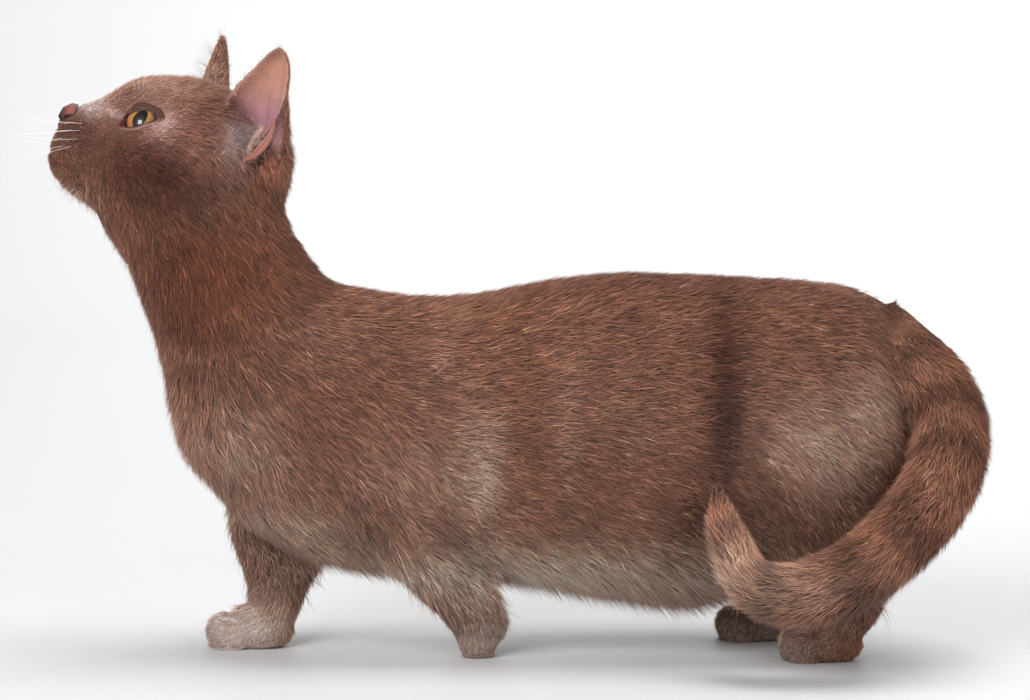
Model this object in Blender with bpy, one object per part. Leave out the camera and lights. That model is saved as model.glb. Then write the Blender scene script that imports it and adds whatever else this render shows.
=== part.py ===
"""A munchkin cat in mid-step: short legs, long trunk, head raised, tail swept round."""

import math

import bmesh
import bpy
import numpy as np
from mathutils import Matrix, Vector
from mathutils.bvhtree import BVHTree

# Sizes are in millimetres until the finished solids are scaled to metres.
# +Z is up, the cat faces -X and its left side is the -Y side.
MM = 0.001
SEAM = 0.3  # open gap where one solid meets the next
BODY_VOXEL = 2.2
FINE_VOXEL = 1.0
BODY_TRIANGLES = 6000
EAR_TRIANGLES = 400
HEAD_SHARE = 0.52  # how strongly the head is kept from being thinned out

HEAD_PIVOT = Vector((-125.0, 0.0, 222.0))
HEAD_REACH = 18.6
HEAD_YAW = math.radians(5.0)  # the nose is turned to the left
HEAD_PITCH = math.radians(25.0)  # and raised

EYE_AT = (14.2, 17.3, -0.6)  # forward, sideways, up in the head's own frame
EYE_RADIUS = 11.4
EYE_AXIS = (0.66, 0.75, -0.02)  # the way the lids open
LID = 1.4
LID_LONG = 8.7
LID_HIGH = 4.3
LID_TILT = 24.0  # the outer corner is the higher one
NOSE_ROOT = 46.5

COAT = (0.19, 0.1, 0.072)
NOSE_SKIN = (0.14, 0.062, 0.06)
AMBER = (0.3, 0.12, 0.03)

# Trunk: x, top, bottom, half width.
TRUNK = (
    (-132, 138, 74, 24),
    (-122, 150, 58, 35),
    (-106, 159, 47, 43),
    (-88, 162, 40, 47),
    (-70, 158.3, 36.5, 49.5),
    (-46, 154.6, 34.5, 51),
    (-20, 155.3, 33.5, 52),
    (8, 160.6, 30.5, 54),
    (38, 164.2, 26, 56),
    (68, 163.8, 22.5, 56.5),
    (92, 162.8, 26.5, 54.5),
    (114, 161.6, 38, 51),
    (134, 159.8, 54, 45),
    (150, 156.6, 66, 37),
    (163, 148.6, 74, 28),
    (174, 133, 84, 14),
)

# Neck and fore chest, level sections: z, front, back, half width.
NECK = (
    (212, -166, -112, 24),
    (196, -183.3, -104, 29),
    (184, -179.2, -98.2, 31.5),
    (168, -168.8, -88.2, 33.5),
    (155, -164, -77, 36),
    (141, -158.7, -65, 39),
    (127, -155, -60, 41.5),
    (112, -151.5, -60, 43),
    (98, -149, -62, 43),
    (86, -145, -66, 40),
    (74, -135.5, -72, 35),
    (63, -127, -80, 26),
)

# Limbs, level sections: z, front, back, y of the middle, half width.
FORELEG_LEFT = (
    (104, -100, -54, -32, 13),
    (84, -94, -42, -36, 15.5),
    (66, -80, -30, -38, 15.5),
    (54, -68, -24.5, -37.5, 15),
    (44, -60, -18.5, -35, 14.3),
    (35, -51, -11.5, -29.5, 13.3),
    (26, -43, -7.5, -24, 12.4),
    (18, -35, -7, -18.5, 11.8),
    (11, -29.5, -7, -14.5, 11.2),
    (4, -26.5, -10, -12.5, 9.5),
)
FORELEG_RIGHT = (
    (104, -126, -84, 32, 13),
    (84, -130, -84, 35, 15.5),
    (66, -130, -84, 32.5, 16),
    (54, -129.5, -84, 29, 15.5),
    (44, -127, -84.5, 25, 14.8),
    (34, -122.5, -87, 20, 13.6),
    (25, -119.5, -91.5, 16, 12.6),
    (16, -119.5, -95.5, 12.5, 12),
    (8, -121, -98.5, 10, 11.5),
)
HINDLEG_LEFT = (
    (118, 100, 154, -32, 16),
    (98, 90, 163.5, -36.5, 18),
    (80, 87, 165, -37, 18.5),
    (64, 90, 163, -35, 17.5),
    (50, 99, 159.5, -33, 15.5),
    (38, 111, 158, -30, 13.2),
    (27, 122, 156.8, -27.5, 12),
    (18, 128.5, 152.5, -25.5, 11.2),
    (9, 127, 145.5, -25, 11),
)
HINDLEG_RIGHT = (
    (118, 88, 158, 32, 16),
    (98, 76, 167.5, 36, 18),
    (80, 71, 167, 37, 18),
    (64, 71, 152, 37.5, 17),
    (50, 76, 132, 36, 15),
    (38, 88, 130, 33, 13),
    (27, 98, 129.5, 31, 11.8),
    (18, 105, 128, 29.5, 11.2),
    (9, 104, 121, 29, 11),
)

# Tail: x, y, z and radius along its middle line.
TAIL = (
    (136, 2, 137, 21),
    (150, -1, 136, 20),
    (161.6, -7, 128.8, 18.6),
    (170.4, -16, 121.2, 17.8),
    (177.4, -26, 111, 17.2),
    (180.6, -36, 100.2, 16.8),
    (178.6, -48, 87, 16.4),
    (169.5, -60.5, 71.9, 16),
    (155.4, -71, 57.6, 15.6),
    (137.5, -78.5, 44.5, 15),
    (116, -81.5, 37, 14),
    (98, -79, 39.5, 12),
    (88.5, -73.5, 52, 9.4),
    (83.4, -69.5, 66, 7),
    (81.2, -67.5, 80, 2.6),
)
TAIL_CUTS = (0.5, 0.79)


def clear_scene():
    for item in list(bpy.data.objects):
        bpy.data.objects.remove(item, do_unlink=True)


def material(name, colour, roughness, coat=0.0):
    made = bpy.data.materials.new(name)
    made.use_nodes = True
    shader = made.node_tree.nodes["Principled BSDF"]
    shader.inputs["Base Color"].default_value = (*colour, 1.0)
    shader.inputs["Roughness"].default_value = roughness
    shader.inputs["Metallic"].default_value = 0.0
    shader.inputs["Coat Weight"].default_value = coat
    made.diffuse_color = (*colour, 1.0)
    return made


def curve_rows(rows, count):
    """Rows of numbers, read along a smooth curve through them."""
    table = np.array(rows, float)
    last = len(table) - 1
    out = []
    for t in np.linspace(0.0, last, count):
        i = min(int(t), last - 1)
        s = t - i
        a, b = table[max(i - 1, 0)], table[i]
        c, d = table[i + 1], table[min(i + 2, last)]
        out.append(
            0.5
            * (
                2 * b
                + (c - a) * s
                + (2 * a - 5 * b + 4 * c - d) * s * s
                + (3 * b - a - 3 * c + d) * s**3
            )
        )
    return np.array(out)


def skin_rings(rings):
    """A closed mesh through rings of equal point counts."""
    count, sides = len(rings), len(rings[0])
    points = [p for ring in rings for p in ring]
    faces = []
    for i in range(count - 1):
        for j in range(sides):
            k = (j + 1) % sides
            faces.append(
                (i * sides + j, i * sides + k, (i + 1) * sides + k, (i + 1) * sides + j)
            )
    for base, order in ((0, -1), ((count - 1) * sides, 1)):
        middle = len(points)
        points.append(np.mean(rings[0] if base == 0 else rings[-1], axis=0))
        for j in range(sides):
            k = (j + 1) % sides
            pair = (base + j, base + k)[::order]
            faces.append((*pair, middle))
    mesh = bpy.data.meshes.new("shape")
    mesh.from_pydata([tuple(map(float, p)) for p in points], [], faces)
    fixed = bmesh.new()
    fixed.from_mesh(mesh)
    bmesh.ops.recalc_face_normals(fixed, faces=fixed.faces)
    fixed.to_mesh(mesh)
    fixed.free()
    return mesh


def oval(middle, across, along, power=2.0, sides=32, egg=0.0):
    ring = []
    for j in range(sides):
        a = math.tau * j / sides
        c, s = math.cos(a), math.sin(a)
        u = math.copysign(abs(c) ** (2 / power), c)
        v = math.copysign(abs(s) ** (2 / power), s)
        ring.append(
            np.array(middle) + np.array(across) * u * (1 - egg * v) + np.array(along) * v
        )
    return ring


def trunk():
    rings = []
    for x, top, bottom, wide in curve_rows(TRUNK, 60):
        middle, high = (top + bottom) / 2, (top - bottom) / 2
        rings.append(oval((x, 0, middle), (0, wide, 0), (0, 0, high), 2.15, 40, 0.09))
    return skin_rings(rings)


def neck():
    rings = []
    for z, front, back, wide in curve_rows(NECK, 44):
        x = (front + back) / 2
        lean = max(0.0, z - 120) * -0.045
        rings.append(
            oval((x, lean, z), ((back - front) / 2, 0, 0), (0, wide, 0), 2.1, 36)
        )
    return skin_rings(rings)


def limb(rows, count=30):
    rings = []
    for z, front, back, y, wide in curve_rows(rows, count):
        x = (front + back) / 2
        rings.append(oval((x, y, z), ((back - front) / 2, 0, 0), (0, wide, 0), 2.2, 28))
    return skin_rings(rings)


def blob(middle, radii, turn=None, sides=24):
    """An ellipsoid; turn is a 3x3 matrix whose columns are its own axes."""
    made = bmesh.new()
    bmesh.ops.create_uvsphere(made, u_segments=sides, v_segments=sides // 2 + 2, radius=1)
    mesh = bpy.data.meshes.new("blob")
    made.to_mesh(mesh)
    made.free()
    frame = (turn or Matrix.Identity(3)).to_4x4()
    mesh.transform(
        Matrix.Translation(Vector(middle)) @ frame @ Matrix.Diagonal((*radii, 1.0))
    )
    return mesh


def head_frame():
    """Forward, left and up axes of the head, and its middle."""
    c, s = math.cos(HEAD_YAW), math.sin(HEAD_YAW)
    level = Vector((-c, -s, 0))
    left = Vector((s, -c, 0))
    up = Vector((0, 0, 1))
    forward = level * math.cos(HEAD_PITCH) + up * math.sin(HEAD_PITCH)
    rise = up * math.cos(HEAD_PITCH) - level * math.sin(HEAD_PITCH)
    return forward, left, rise, HEAD_PIVOT + level * HEAD_REACH


def head_at(f, sideways, u):
    forward, left, rise, middle = head_frame()
    return middle + forward * f + left * sideways + rise * u


def head_turn(extra=0.0):
    """The head's axes as a matrix, tipped nose-up by extra degrees."""
    forward, left, rise, _ = head_frame()
    tip = math.radians(extra)
    a = forward * math.cos(tip) + rise * math.sin(tip)
    b = rise * math.cos(tip) - forward * math.sin(tip)
    return Matrix((a, left, b)).transposed()


def head_shapes():
    turn = head_turn()
    shapes = [
        blob(head_at(-7, 0, -4), (43, 34.5, 30.3), turn, 40),
        blob(head_at(6, 0, -23), (30, 27, 19), turn, 32),
        blob(head_at(22, 0, -33), (17, 15, 9.5), turn, 24),
    ]
    # Muzzle: forward, top, bottom, half width.
    muzzle = (
        (10, 18.5, -42.5, 21),
        (21, 19, -43.5, 19),
        (28, 16.8, -43.6, 17),
        (33.5, 10.4, -43.2, 15.2),
        (39, 0.8, -41.6, 14),
        (45, -4.3, -38.6, 12.5),
        (50.4, -7.8, -32.4, 9.5),
    )
    rings = []
    forward, left, rise, _ = head_frame()
    for f, top, bottom, wide in curve_rows(muzzle, 24):
        middle = head_at(f, 0, (top + bottom) / 2)
        rings.append(oval(middle, left * wide, rise * (top - bottom) / 2, 2.0, 28, 0.3))
    shapes.append(skin_rings(rings))
    for side in (1, -1):
        shapes.append(blob(head_at(-2, side * 20, -13), (30, 17.5, 23), turn, 28))
        shapes.append(blob(head_at(38, side * 8, -22), (11.8, 9.8, 9.6), turn, 24))
        shapes.append(blob(head_at(13, side * 13, 8), (18, 12, 10.5), head_turn(-25), 24))
        shapes.append(blob(head_at(-17, side * 23, 0), (14, 11, 12), head_turn(-30), 24))
        shapes.append(blob(head_at(-34, side * 20, 9), (10, 9, 14), head_turn(-15), 24))
    shapes.append(blob(head_at(31.5, 0, -33.5), (10, 10, 7.5), turn, 24))
    return shapes


def paw_shapes(middle, reach, half_width, height, spread):
    """A paw flat on the floor: its pad block and four toes in front."""
    x, y = middle
    shapes = [
        blob((x, y, height * 0.5), (reach, half_width, height * 0.6)),
        blob((x + reach * 0.1, y, height * 0.85), (reach * 0.74, half_width * 0.9, height * 0.6)),
    ]
    for i, (ahead, aside) in enumerate(spread):
        tall = 8.8 if i in (1, 2) else 7.8
        shapes.append(blob((x - ahead, y + aside, tall * 0.78), (8.2, 4.2, tall), None, 20))
    return shapes


def paws():
    spread = ((10.5, -8.4), (13.8, -2.9), (13.8, 2.9), (10.5, 8.4))
    shapes = []
    shapes += paw_shapes((-115, 9), 17.5, 12.2, 14.5, spread)
    shapes += paw_shapes((131.4, -25), 15.4, 11.8, 13.5, spread)
    shapes += paw_shapes((107.5, 29), 17.5, 11.8, 13, spread)
    # The left forepaw is lifting off: its toes point straight down.
    for aside, tall in ((-8, 7.6), (-2.8, 8.8), (2.8, 8.8), (8, 7.6)):
        shapes.append(blob((-18, -12.5 + aside, 6.8), (8.9, 4.3, tall), None, 20))
    shapes.append(blob((-15.6, -12.5, 14), (10.6, 11.4, 11.5)))
    return shapes


def muscles():
    shapes = []
    for side in (-1, 1):
        lean = Matrix.Rotation(math.radians(20), 3, "Y")
        tuck = Matrix.Rotation(math.radians(side * 14), 3, "X")
        shapes.append(blob((-82, side * 33, 106), (30, 15, 42), tuck @ lean, 28))
        tuck = Matrix.Rotation(math.radians(side * 10), 3, "X")
        shapes.append(blob((123, side * 34, 98), (40.5, 20, 46), tuck, 28))
    return shapes


def tail_rings(rows, sides=20):
    points = rows[:, :3]
    heading = np.gradient(points, axis=0)
    heading /= np.linalg.norm(heading, axis=1)[:, None]
    across = np.array((0.0, 1.0, 0.0))
    rings = []
    for p, h, r in zip(points, heading, rows[:, 3]):
        across = across - h * across.dot(h)
        across /= np.linalg.norm(across)
        rings.append(oval(p, across * r, np.cross(h, across) * r, 2.0, sides))
    return rings


def tail_part(low, high, count):
    """The stretch of the tail between two shares of its length."""
    rows = curve_rows(TAIL, 561)
    steps = np.linalg.norm(np.diff(rows[:, :3], axis=0), axis=1)
    along = np.concatenate(([0.0], np.cumsum(steps)))
    start, stop = low * along[-1], high * along[-1]
    wanted = np.linspace(start, stop, count)
    picked = np.stack([np.interp(wanted, along, rows[:, i]) for i in range(4)], axis=1)
    return picked


def join(meshes):
    out = bmesh.new()
    for mesh in meshes:
        out.from_mesh(mesh)
    made = bpy.data.meshes.new("joined")
    out.to_mesh(made)
    out.free()
    return made


def evaluated(mesh, add):
    """The mesh after the modifiers that add() puts on it."""
    holder = bpy.data.objects.new("holder", mesh)
    bpy.context.collection.objects.link(holder)
    add(holder)
    graph = bpy.context.evaluated_depsgraph_get()
    out = bpy.data.meshes.new_from_object(holder.evaluated_get(graph))
    bpy.data.objects.remove(holder, do_unlink=True)
    return out


def remeshed(mesh, voxel):
    def add(holder):
        remesh = holder.modifiers.new("remesh", "REMESH")
        remesh.mode = "VOXEL"
        remesh.voxel_size = voxel
        remesh.adaptivity = 0.0

    return evaluated(mesh, add)


def read_points(mesh):
    points = np.empty(len(mesh.vertices) * 3)
    mesh.vertices.foreach_get("co", points)
    return points.reshape(-1, 3)


def write_points(mesh, points):
    mesh.vertices.foreach_set("co", points.astype(np.float32).ravel())
    mesh.update()


def relax(mesh, rounds, weight=None, keep=True):
    """Smooth a mesh; keep alternates the sign so that its bulk stays."""
    points = read_points(mesh)
    edges = np.empty(len(mesh.edges) * 2, int)
    mesh.edges.foreach_get("vertices", edges)
    a, b = edges.reshape(-1, 2).T
    degree = np.bincount(np.concatenate((a, b)), minlength=len(points))[:, None]
    weight = np.ones((len(points), 1)) if weight is None else weight.reshape(-1, 1)
    for turn in range(rounds):
        total = np.zeros_like(points)
        for i in range(3):
            total[:, i] = np.bincount(a, points[b, i], len(points))
            total[:, i] += np.bincount(b, points[a, i], len(points))
        step = -0.53 if keep and turn % 2 else 0.5
        points += weight * step * (total / degree - points)
    write_points(mesh, points)


def push(points, middle, radius, move):
    """Move the points near a place, most in its middle."""
    away = np.linalg.norm(points - np.array(middle), axis=1) / radius
    fall = np.clip(1 - away * away, 0, 1) ** 2
    points += fall[:, None] * np.array(move)


def shape_face(mesh):
    """Eye hollows, the dip before the brow and the fullness of the cheeks."""
    points = read_points(mesh)
    forward, left, rise, _ = head_frame()
    for side in (1, -1):
        inward = -left * side
        push(points, head_at(27, side * 19, 2), 13, inward * 5.5 - forward * 1.5)
        push(points, head_at(20, side * 28, 1), 13, inward * 3.0 - forward * 0.5)
        push(points, head_at(24, side * 20, -12), 12, inward * 2.0)
    write_points(mesh, points)


def ear(front_rim, back_rim, opening, depth, thick, rows=30, columns=20):
    """A cupped ear between the two edges of its rim, which meet at the tip."""
    front = curve_rows(front_rim, rows)
    back = curve_rows(back_rim, rows)
    opening = np.array(opening, float)
    opening /= np.linalg.norm(opening)
    grid = []
    for i, (a, b) in enumerate(zip(front, back)):
        deep = depth * (1 - i / (rows - 1)) ** 0.6
        row = []
        for s in np.linspace(0, 1, columns):
            bow = (4 * s * (1 - s)) ** 0.75
            row.append(a + (b - a) * s - opening * deep * bow)
        grid.append(row)
    grid = np.array(grid)
    normal = np.cross(np.gradient(grid, axis=1), np.gradient(grid, axis=0))
    length = np.linalg.norm(normal, axis=2, keepdims=True)
    normal = normal / np.maximum(length, 1e-9)
    if normal[rows // 2, columns // 2].dot(opening) < 0:
        normal = -normal
    normal[-2:] = normal[-3].mean(axis=0)
    wall = np.linspace(thick, thick * 0.5, rows)[:, None, None]
    inner, outer = grid, grid - normal * wall
    points = [tuple(p) for half in (inner, outer) for p in half.reshape(-1, 3)]
    size = rows * columns
    faces = []
    for i in range(rows - 1):
        for j in range(columns - 1):
            k = i * columns + j
            quad = (k, k + 1, k + columns + 1, k + columns)
            faces.append(quad)
            faces.append(tuple(size + q for q in reversed(quad)))
    rim = list(range(columns))
    rim += [i * columns + columns - 1 for i in range(1, rows)]
    rim += [(rows - 1) * columns + j for j in range(columns - 2, -1, -1)]
    rim += [i * columns for i in range(rows - 2, 0, -1)]
    for m, k in enumerate(rim):
        n = rim[(m + 1) % len(rim)]
        faces.append((n, k, size + k, size + n))
    mesh = bpy.data.meshes.new("ear")
    mesh.from_pydata(points, [], faces)
    fixed = bmesh.new()
    fixed.from_mesh(mesh)
    bmesh.ops.recalc_face_normals(fixed, faces=fixed.faces)
    fixed.to_mesh(mesh)
    fixed.free()
    return mesh


# Rims of the ears, from their feet to the tip. The left ear is turned to the side.
EAR_LEFT = (
    ((-124, -22, 236), (-118.8, -27, 243.3), (-112, -35, 250), (-105.4, -43, 256.2), (-100.8, -49, 259.6)),
    (
        (-116.5, -32.5, 212), (-110.5, -39.5, 221.5), (-104, -45.5, 229), (-99.4, -50, 238),
        (-97.2, -51.5, 248), (-97.8, -51, 255.8), (-100.4, -49.6, 259.2),
    ),
)
EAR_RIGHT = (
    ((-139, 16, 240), (-137.7, 20.5, 247), (-135.4, 27, 254), (-133.2, 33.5, 260), (-131.3, 39, 265)),
    ((-135, 45, 223), (-133.7, 48.5, 234), (-132.8, 48, 246), (-132, 45, 257), (-131.1, 40, 264.8)),
)
EAR_WALL = 2.4


def ears():
    near = ear(*EAR_LEFT, (-0.35, -0.92, 0.12), 13.5, EAR_WALL)
    far = ear(*EAR_RIGHT, (-0.96, 0.25, 0.1), 7.5, EAR_WALL)
    return [near, far]


def sculpt():
    """The body without ears and tail, as one fine closed mesh."""
    shapes = [trunk(), neck()]
    shapes += [limb(r) for r in (FORELEG_LEFT, FORELEG_RIGHT, HINDLEG_LEFT, HINDLEG_RIGHT)]
    shapes += muscles()
    shapes += head_shapes()
    body = remeshed(join(shapes), BODY_VOXEL)
    points = read_points(body)
    thick = np.clip((points[:, 2] - 35) / 40, 0.12, 1)
    relax(body, 22, thick, keep=False)
    shape_face(body)
    extra = paws()
    turn = head_turn()
    extra.append(blob(head_at(46.4, 0, -13), (5.9, 6.4, 6.4), turn, 24))
    for side in (1, -1):
        f, sideways, u = EYE_AT
        extra.append(
            blob(head_at(f, sideways * side, u), (EYE_RADIUS + LID,) * 3, turn, 32)
        )
    body = remeshed(join([body] + extra), FINE_VOXEL)
    relax(body, 6)
    return body


def thinned(mesh, target):
    """Fewer triangles: most are kept on the head and the paws."""
    points = read_points(mesh)
    keep = np.clip((points[:, 2] - 175) / 20, 0, 1) * (points[:, 0] < -80)
    keep = np.maximum(keep * HEAD_SHARE, np.clip((24 - points[:, 2]) / 10, 0, 1) * 0.25)

    def add(holder):
        group = holder.vertex_groups.new(name="keep")
        for level in np.unique(np.round(keep, 1)):
            picked = np.where(np.round(keep, 1) == level)[0].tolist()
            group.add(picked, float(level), "REPLACE")
        thin = holder.modifiers.new("thin", "DECIMATE")
        thin.ratio = target / (2 * len(mesh.polygons))
        thin.vertex_group = "keep"
        thin.invert_vertex_group = True
        thin.use_collapse_triangulate = True

    return evaluated(mesh, add)


def box(middle, half, turn=None):
    made = bmesh.new()
    bmesh.ops.create_cube(made, size=2)
    mesh = bpy.data.meshes.new("box")
    made.to_mesh(mesh)
    made.free()
    frame = (turn or Matrix.Identity(3)).to_4x4()
    mesh.transform(
        Matrix.Translation(Vector(middle)) @ frame @ Matrix.Diagonal((*half, 1.0))
    )
    return mesh


def cut(mesh, tool, operation="DIFFERENCE"):
    helper = bpy.data.objects.new("helper", tool)
    bpy.context.collection.objects.link(helper)

    def add(holder):
        boolean = holder.modifiers.new("cut", "BOOLEAN")
        boolean.operation = operation
        boolean.solver = "EXACT"
        boolean.object = helper

    out = evaluated(mesh, add)
    bpy.data.objects.remove(helper, do_unlink=True)
    return out


def prism(outline, axis, across, up, near, far):
    """A closed prism along axis; outline is in the across and up directions."""
    rings = []
    for distance in (near, far):
        ring = [axis * distance + across * a + up * b for a, b in outline]
        rings.append([np.array(p) for p in ring])
    return skin_rings(rings)


def eye_frame(side):
    forward, left, rise, _ = head_frame()
    f, sideways, u = Vector(EYE_AXIS).normalized()
    axis = (forward * f + left * side * sideways + rise * u).normalized()
    outward = left * side * f - forward * sideways
    outward = (outward - axis * outward.dot(axis)).normalized()
    up = axis.cross(outward) * (1 if axis.cross(outward).dot(rise) > 0 else -1)
    tilt = math.radians(LID_TILT)
    a = outward * math.cos(tilt) + up * math.sin(tilt)
    b = up * math.cos(tilt) - outward * math.sin(tilt)
    f, sideways, u = EYE_AT
    return head_at(f, sideways * side, u), axis, a, b


def lid_outline(long, high, count=20):
    outline = []
    for i in range(count):
        angle = math.tau * i / count
        c, s = math.cos(angle), math.sin(angle)
        lift = 1.08 if s > 0 else 0.92
        outline.append((long * c, high * lift * math.copysign(abs(s) ** 1.25, s)))
    return outline


def tube(points, radius, sides=6):
    rows = np.array([(*p, radius) for p in points])
    return skin_rings(tail_rings(curve_rows(rows, 3 * len(points)), sides))


def open_face(body):
    """Sockets and lids, nostrils and the line of the mouth."""
    surface = BVHTree.FromPolygons(
        [v.co for v in body.vertices], [p.vertices for p in body.polygons]
    )

    def lie_on(points):
        return [surface.find_nearest(Vector(p))[0] for p in points]

    eyes = []
    for side in (1, -1):
        middle, axis, along, up = eye_frame(side)
        body = cut(body, blob(middle, (EYE_RADIUS + SEAM,) * 3, None, 20))
        opening = prism(lid_outline(LID_LONG, LID_HIGH), axis, along, up, 3, 24)
        opening.transform(Matrix.Translation(middle))
        body = cut(body, opening)
        eyes.append(blob(middle, (EYE_RADIUS,) * 3, None, 20))
    for side in (1, -1):
        path = lie_on([head_at(f, sideways * side, u) for f, sideways, u in LIP])
        body = cut(body, tube(path, LIP_GROOVE))
    path = lie_on([head_at(f, 0, u) for f, u in PHILTRUM])
    body = cut(body, tube(path, PHILTRUM_GROOVE))
    return body, eyes


# The line of the mouth: forward, sideways, up; and the cleft under the nose: forward, up.
LIP = ((48.8, 2.2, -29), (46.5, 7, -32), (39, 12.5, -33), (31, 16.5, -32), (23, 19.5, -30.8))
PHILTRUM = ((51, -19.5), (50.5, -22), (49.5, -25), (48.5, -29))
LIP_GROOVE = 0.85
PHILTRUM_GROOVE = 0.7
NOSE = (
    (-5.4, -7.0), (-6.3, -10.5), (-4.9, -14.5), (-2.2, -18), (0, -19),
    (2.2, -18), (4.9, -14.5), (6.3, -10.5), (5.4, -7.0), (2.6, -5.6), (0, -5.2), (-2.6, -5.6),
)


def part_nose(body):
    forward, left, rise, middle = head_frame()
    inner = prism(NOSE, forward, left, rise, NOSE_ROOT, 66)
    grown = []
    for a, b in NOSE:
        away = Vector((a, b + 12))
        grown.append(tuple(Vector((a, b)) + away.normalized() * SEAM * 1.15))
    outer = prism(grown, forward, left, rise, NOSE_ROOT - SEAM, 67)
    for tool in (inner, outer):
        tool.transform(Matrix.Translation(middle))
    nose = cut(body, inner, "INTERSECT")
    body = cut(body, outer)
    for side in (1, -1):
        hole = blob(head_at(50.6, side * 3.3, -13.2), (4.2, 1.3, 1.7), head_turn(20), 12)
        nose = cut(nose, hole)
    return body, nose


# Seams of the body: middle, a normal, a direction along, and half sizes along and across.
SEAMS = (
    ((-140, -2, 187), (0.1, 0, 1), (1, 0, 0), 60, 58),
    ((-118, 0, 141), (-0.5, 0, 0.86), (0.86, 0, 0.5), 62, 62),
    ((-40, -33, 39.7), (0.06, 0.36, 0.92), (1, 0, 0), 42, 24.5),
    ((-107, 25.5, 45.5), (0.27, -0.3, 0.92), (1, 0, -0.3), 38, 22),
    ((-19, -16, 15), (0, 0, 1), (1, 0, 0), 24, 20),
    ((-112, 14, 18), (0, 0, 1), (1, 0, 0), 30, 19),
    ((126, -31, 46), (-0.65, 0.1, 0.76), (0.76, 0, 0.65), 53, 29),
    ((110, 31, 33.5), (-0.56, -0.1, 0.83), (0.83, 0, 0.56), 40, 29),
    ((142, -26, 19.5), (0, 0, 1), (1, 0, 0), 24, 18),
    ((115, 30, 19.5), (0, 0, 1), (1, 0, 0), 24, 18),
)
PLACES = {
    "head": (-145, -5, 218),
    "neck": (-130, 0, 165),
    "torso": (10, 0, 100),
    "foreleg_left": (-28, -30, 28),
    "foreleg_right": (-108, 20, 28),
    "forepaw_left": (-19, -15, 8),
    "forepaw_right": (-116, 13, 8),
    "hindleg_left": (135, -33, 40),
    "hindleg_right": (116, 33, 33),
    "hindpaw_left": (132, -28, 8),
    "hindpaw_right": (106, 29, 8),
}


def seams():
    slabs = []
    for middle, normal, along, long, wide in SEAMS:
        n = Vector(normal).normalized()
        a = Vector(along)
        a = (a - n * a.dot(n)).normalized()
        turn = Matrix((a, n.cross(a), n)).transposed()
        slabs.append(box(middle, (long, wide, SEAM / 2), turn))
    return slabs


def loose_parts(mesh):
    whole = bmesh.new()
    whole.from_mesh(mesh)
    whole.verts.ensure_lookup_table()
    label = [-1] * len(whole.verts)
    count = 0
    for start in whole.verts:
        if label[start.index] >= 0:
            continue
        stack = [start]
        label[start.index] = count
        while stack:
            vert = stack.pop()
            for edge in vert.link_edges:
                other = edge.other_vert(vert)
                if label[other.index] < 0:
                    label[other.index] = count
                    stack.append(other)
        count += 1
    whole.free()
    parts = []
    for k in range(count):
        part = bmesh.new()
        part.from_mesh(mesh)
        part.verts.ensure_lookup_table()
        gone = [v for v in part.verts if label[v.index] != k]
        bmesh.ops.delete(part, geom=gone, context="VERTS")
        made = bpy.data.meshes.new("part")
        part.to_mesh(made)
        part.free()
        parts.append(made)
    return parts


def bulk(mesh):
    solid = bmesh.new()
    solid.from_mesh(mesh)
    size = solid.calc_volume()
    solid.free()
    return size


def swollen(mesh, by):
    """The mesh with its surface moved outwards."""
    made = mesh.copy()
    points = read_points(made)
    normals = np.empty(len(made.vertices) * 3)
    made.vertices.foreach_get("normal", normals)
    write_points(made, points + normals.reshape(-1, 3) * by)
    return made


def biggest(mesh):
    return max(loose_parts(mesh), key=bulk)


def decimated(mesh, target):
    def add(holder):
        thin = holder.modifiers.new("thin", "DECIMATE")
        count = sum(len(p.vertices) - 2 for p in mesh.polygons)
        thin.ratio = min(1.0, target / count)
        thin.use_collapse_triangulate = True

    return evaluated(mesh, add)


def finish(solids):
    """Solids in metres, with the middle of their floor outline at the origin."""
    points = np.concatenate([read_points(mesh) for mesh, _ in solids.values()])
    middle = (points.max(axis=0) + points.min(axis=0)) / 2
    place = Matrix.Scale(MM, 4) @ Matrix.Translation((-middle[0], -middle[1], 0))
    print("moved by", np.round(-middle, 3))
    for name, (mesh, own) in solids.items():
        mesh.transform(place)
        tidy = bmesh.new()
        tidy.from_mesh(mesh)
        bmesh.ops.triangulate(tidy, faces=tidy.faces)
        bmesh.ops.recalc_face_normals(tidy, faces=tidy.faces)
        tidy.to_mesh(mesh)
        tidy.free()
        mesh.materials.clear()
        mesh.materials.append(own)
        mesh.name = name
        solid = bpy.data.objects.new(name, mesh)
        bpy.context.collection.objects.link(solid)


def split_tail(tail):
    for share in TAIL_CUTS:
        here, ahead = tail_part(share, share + 0.01, 2)
        n = Vector(ahead[:3] - here[:3]).normalized()
        a = n.orthogonal().normalized()
        turn = Matrix((a, n.cross(a), n)).transposed()
        tail = cut(tail, box(here[:3], (here[3] + 4, here[3] + 4, SEAM / 2), turn))
    return sorted(loose_parts(tail), key=lambda part: -bulk(part))


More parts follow.
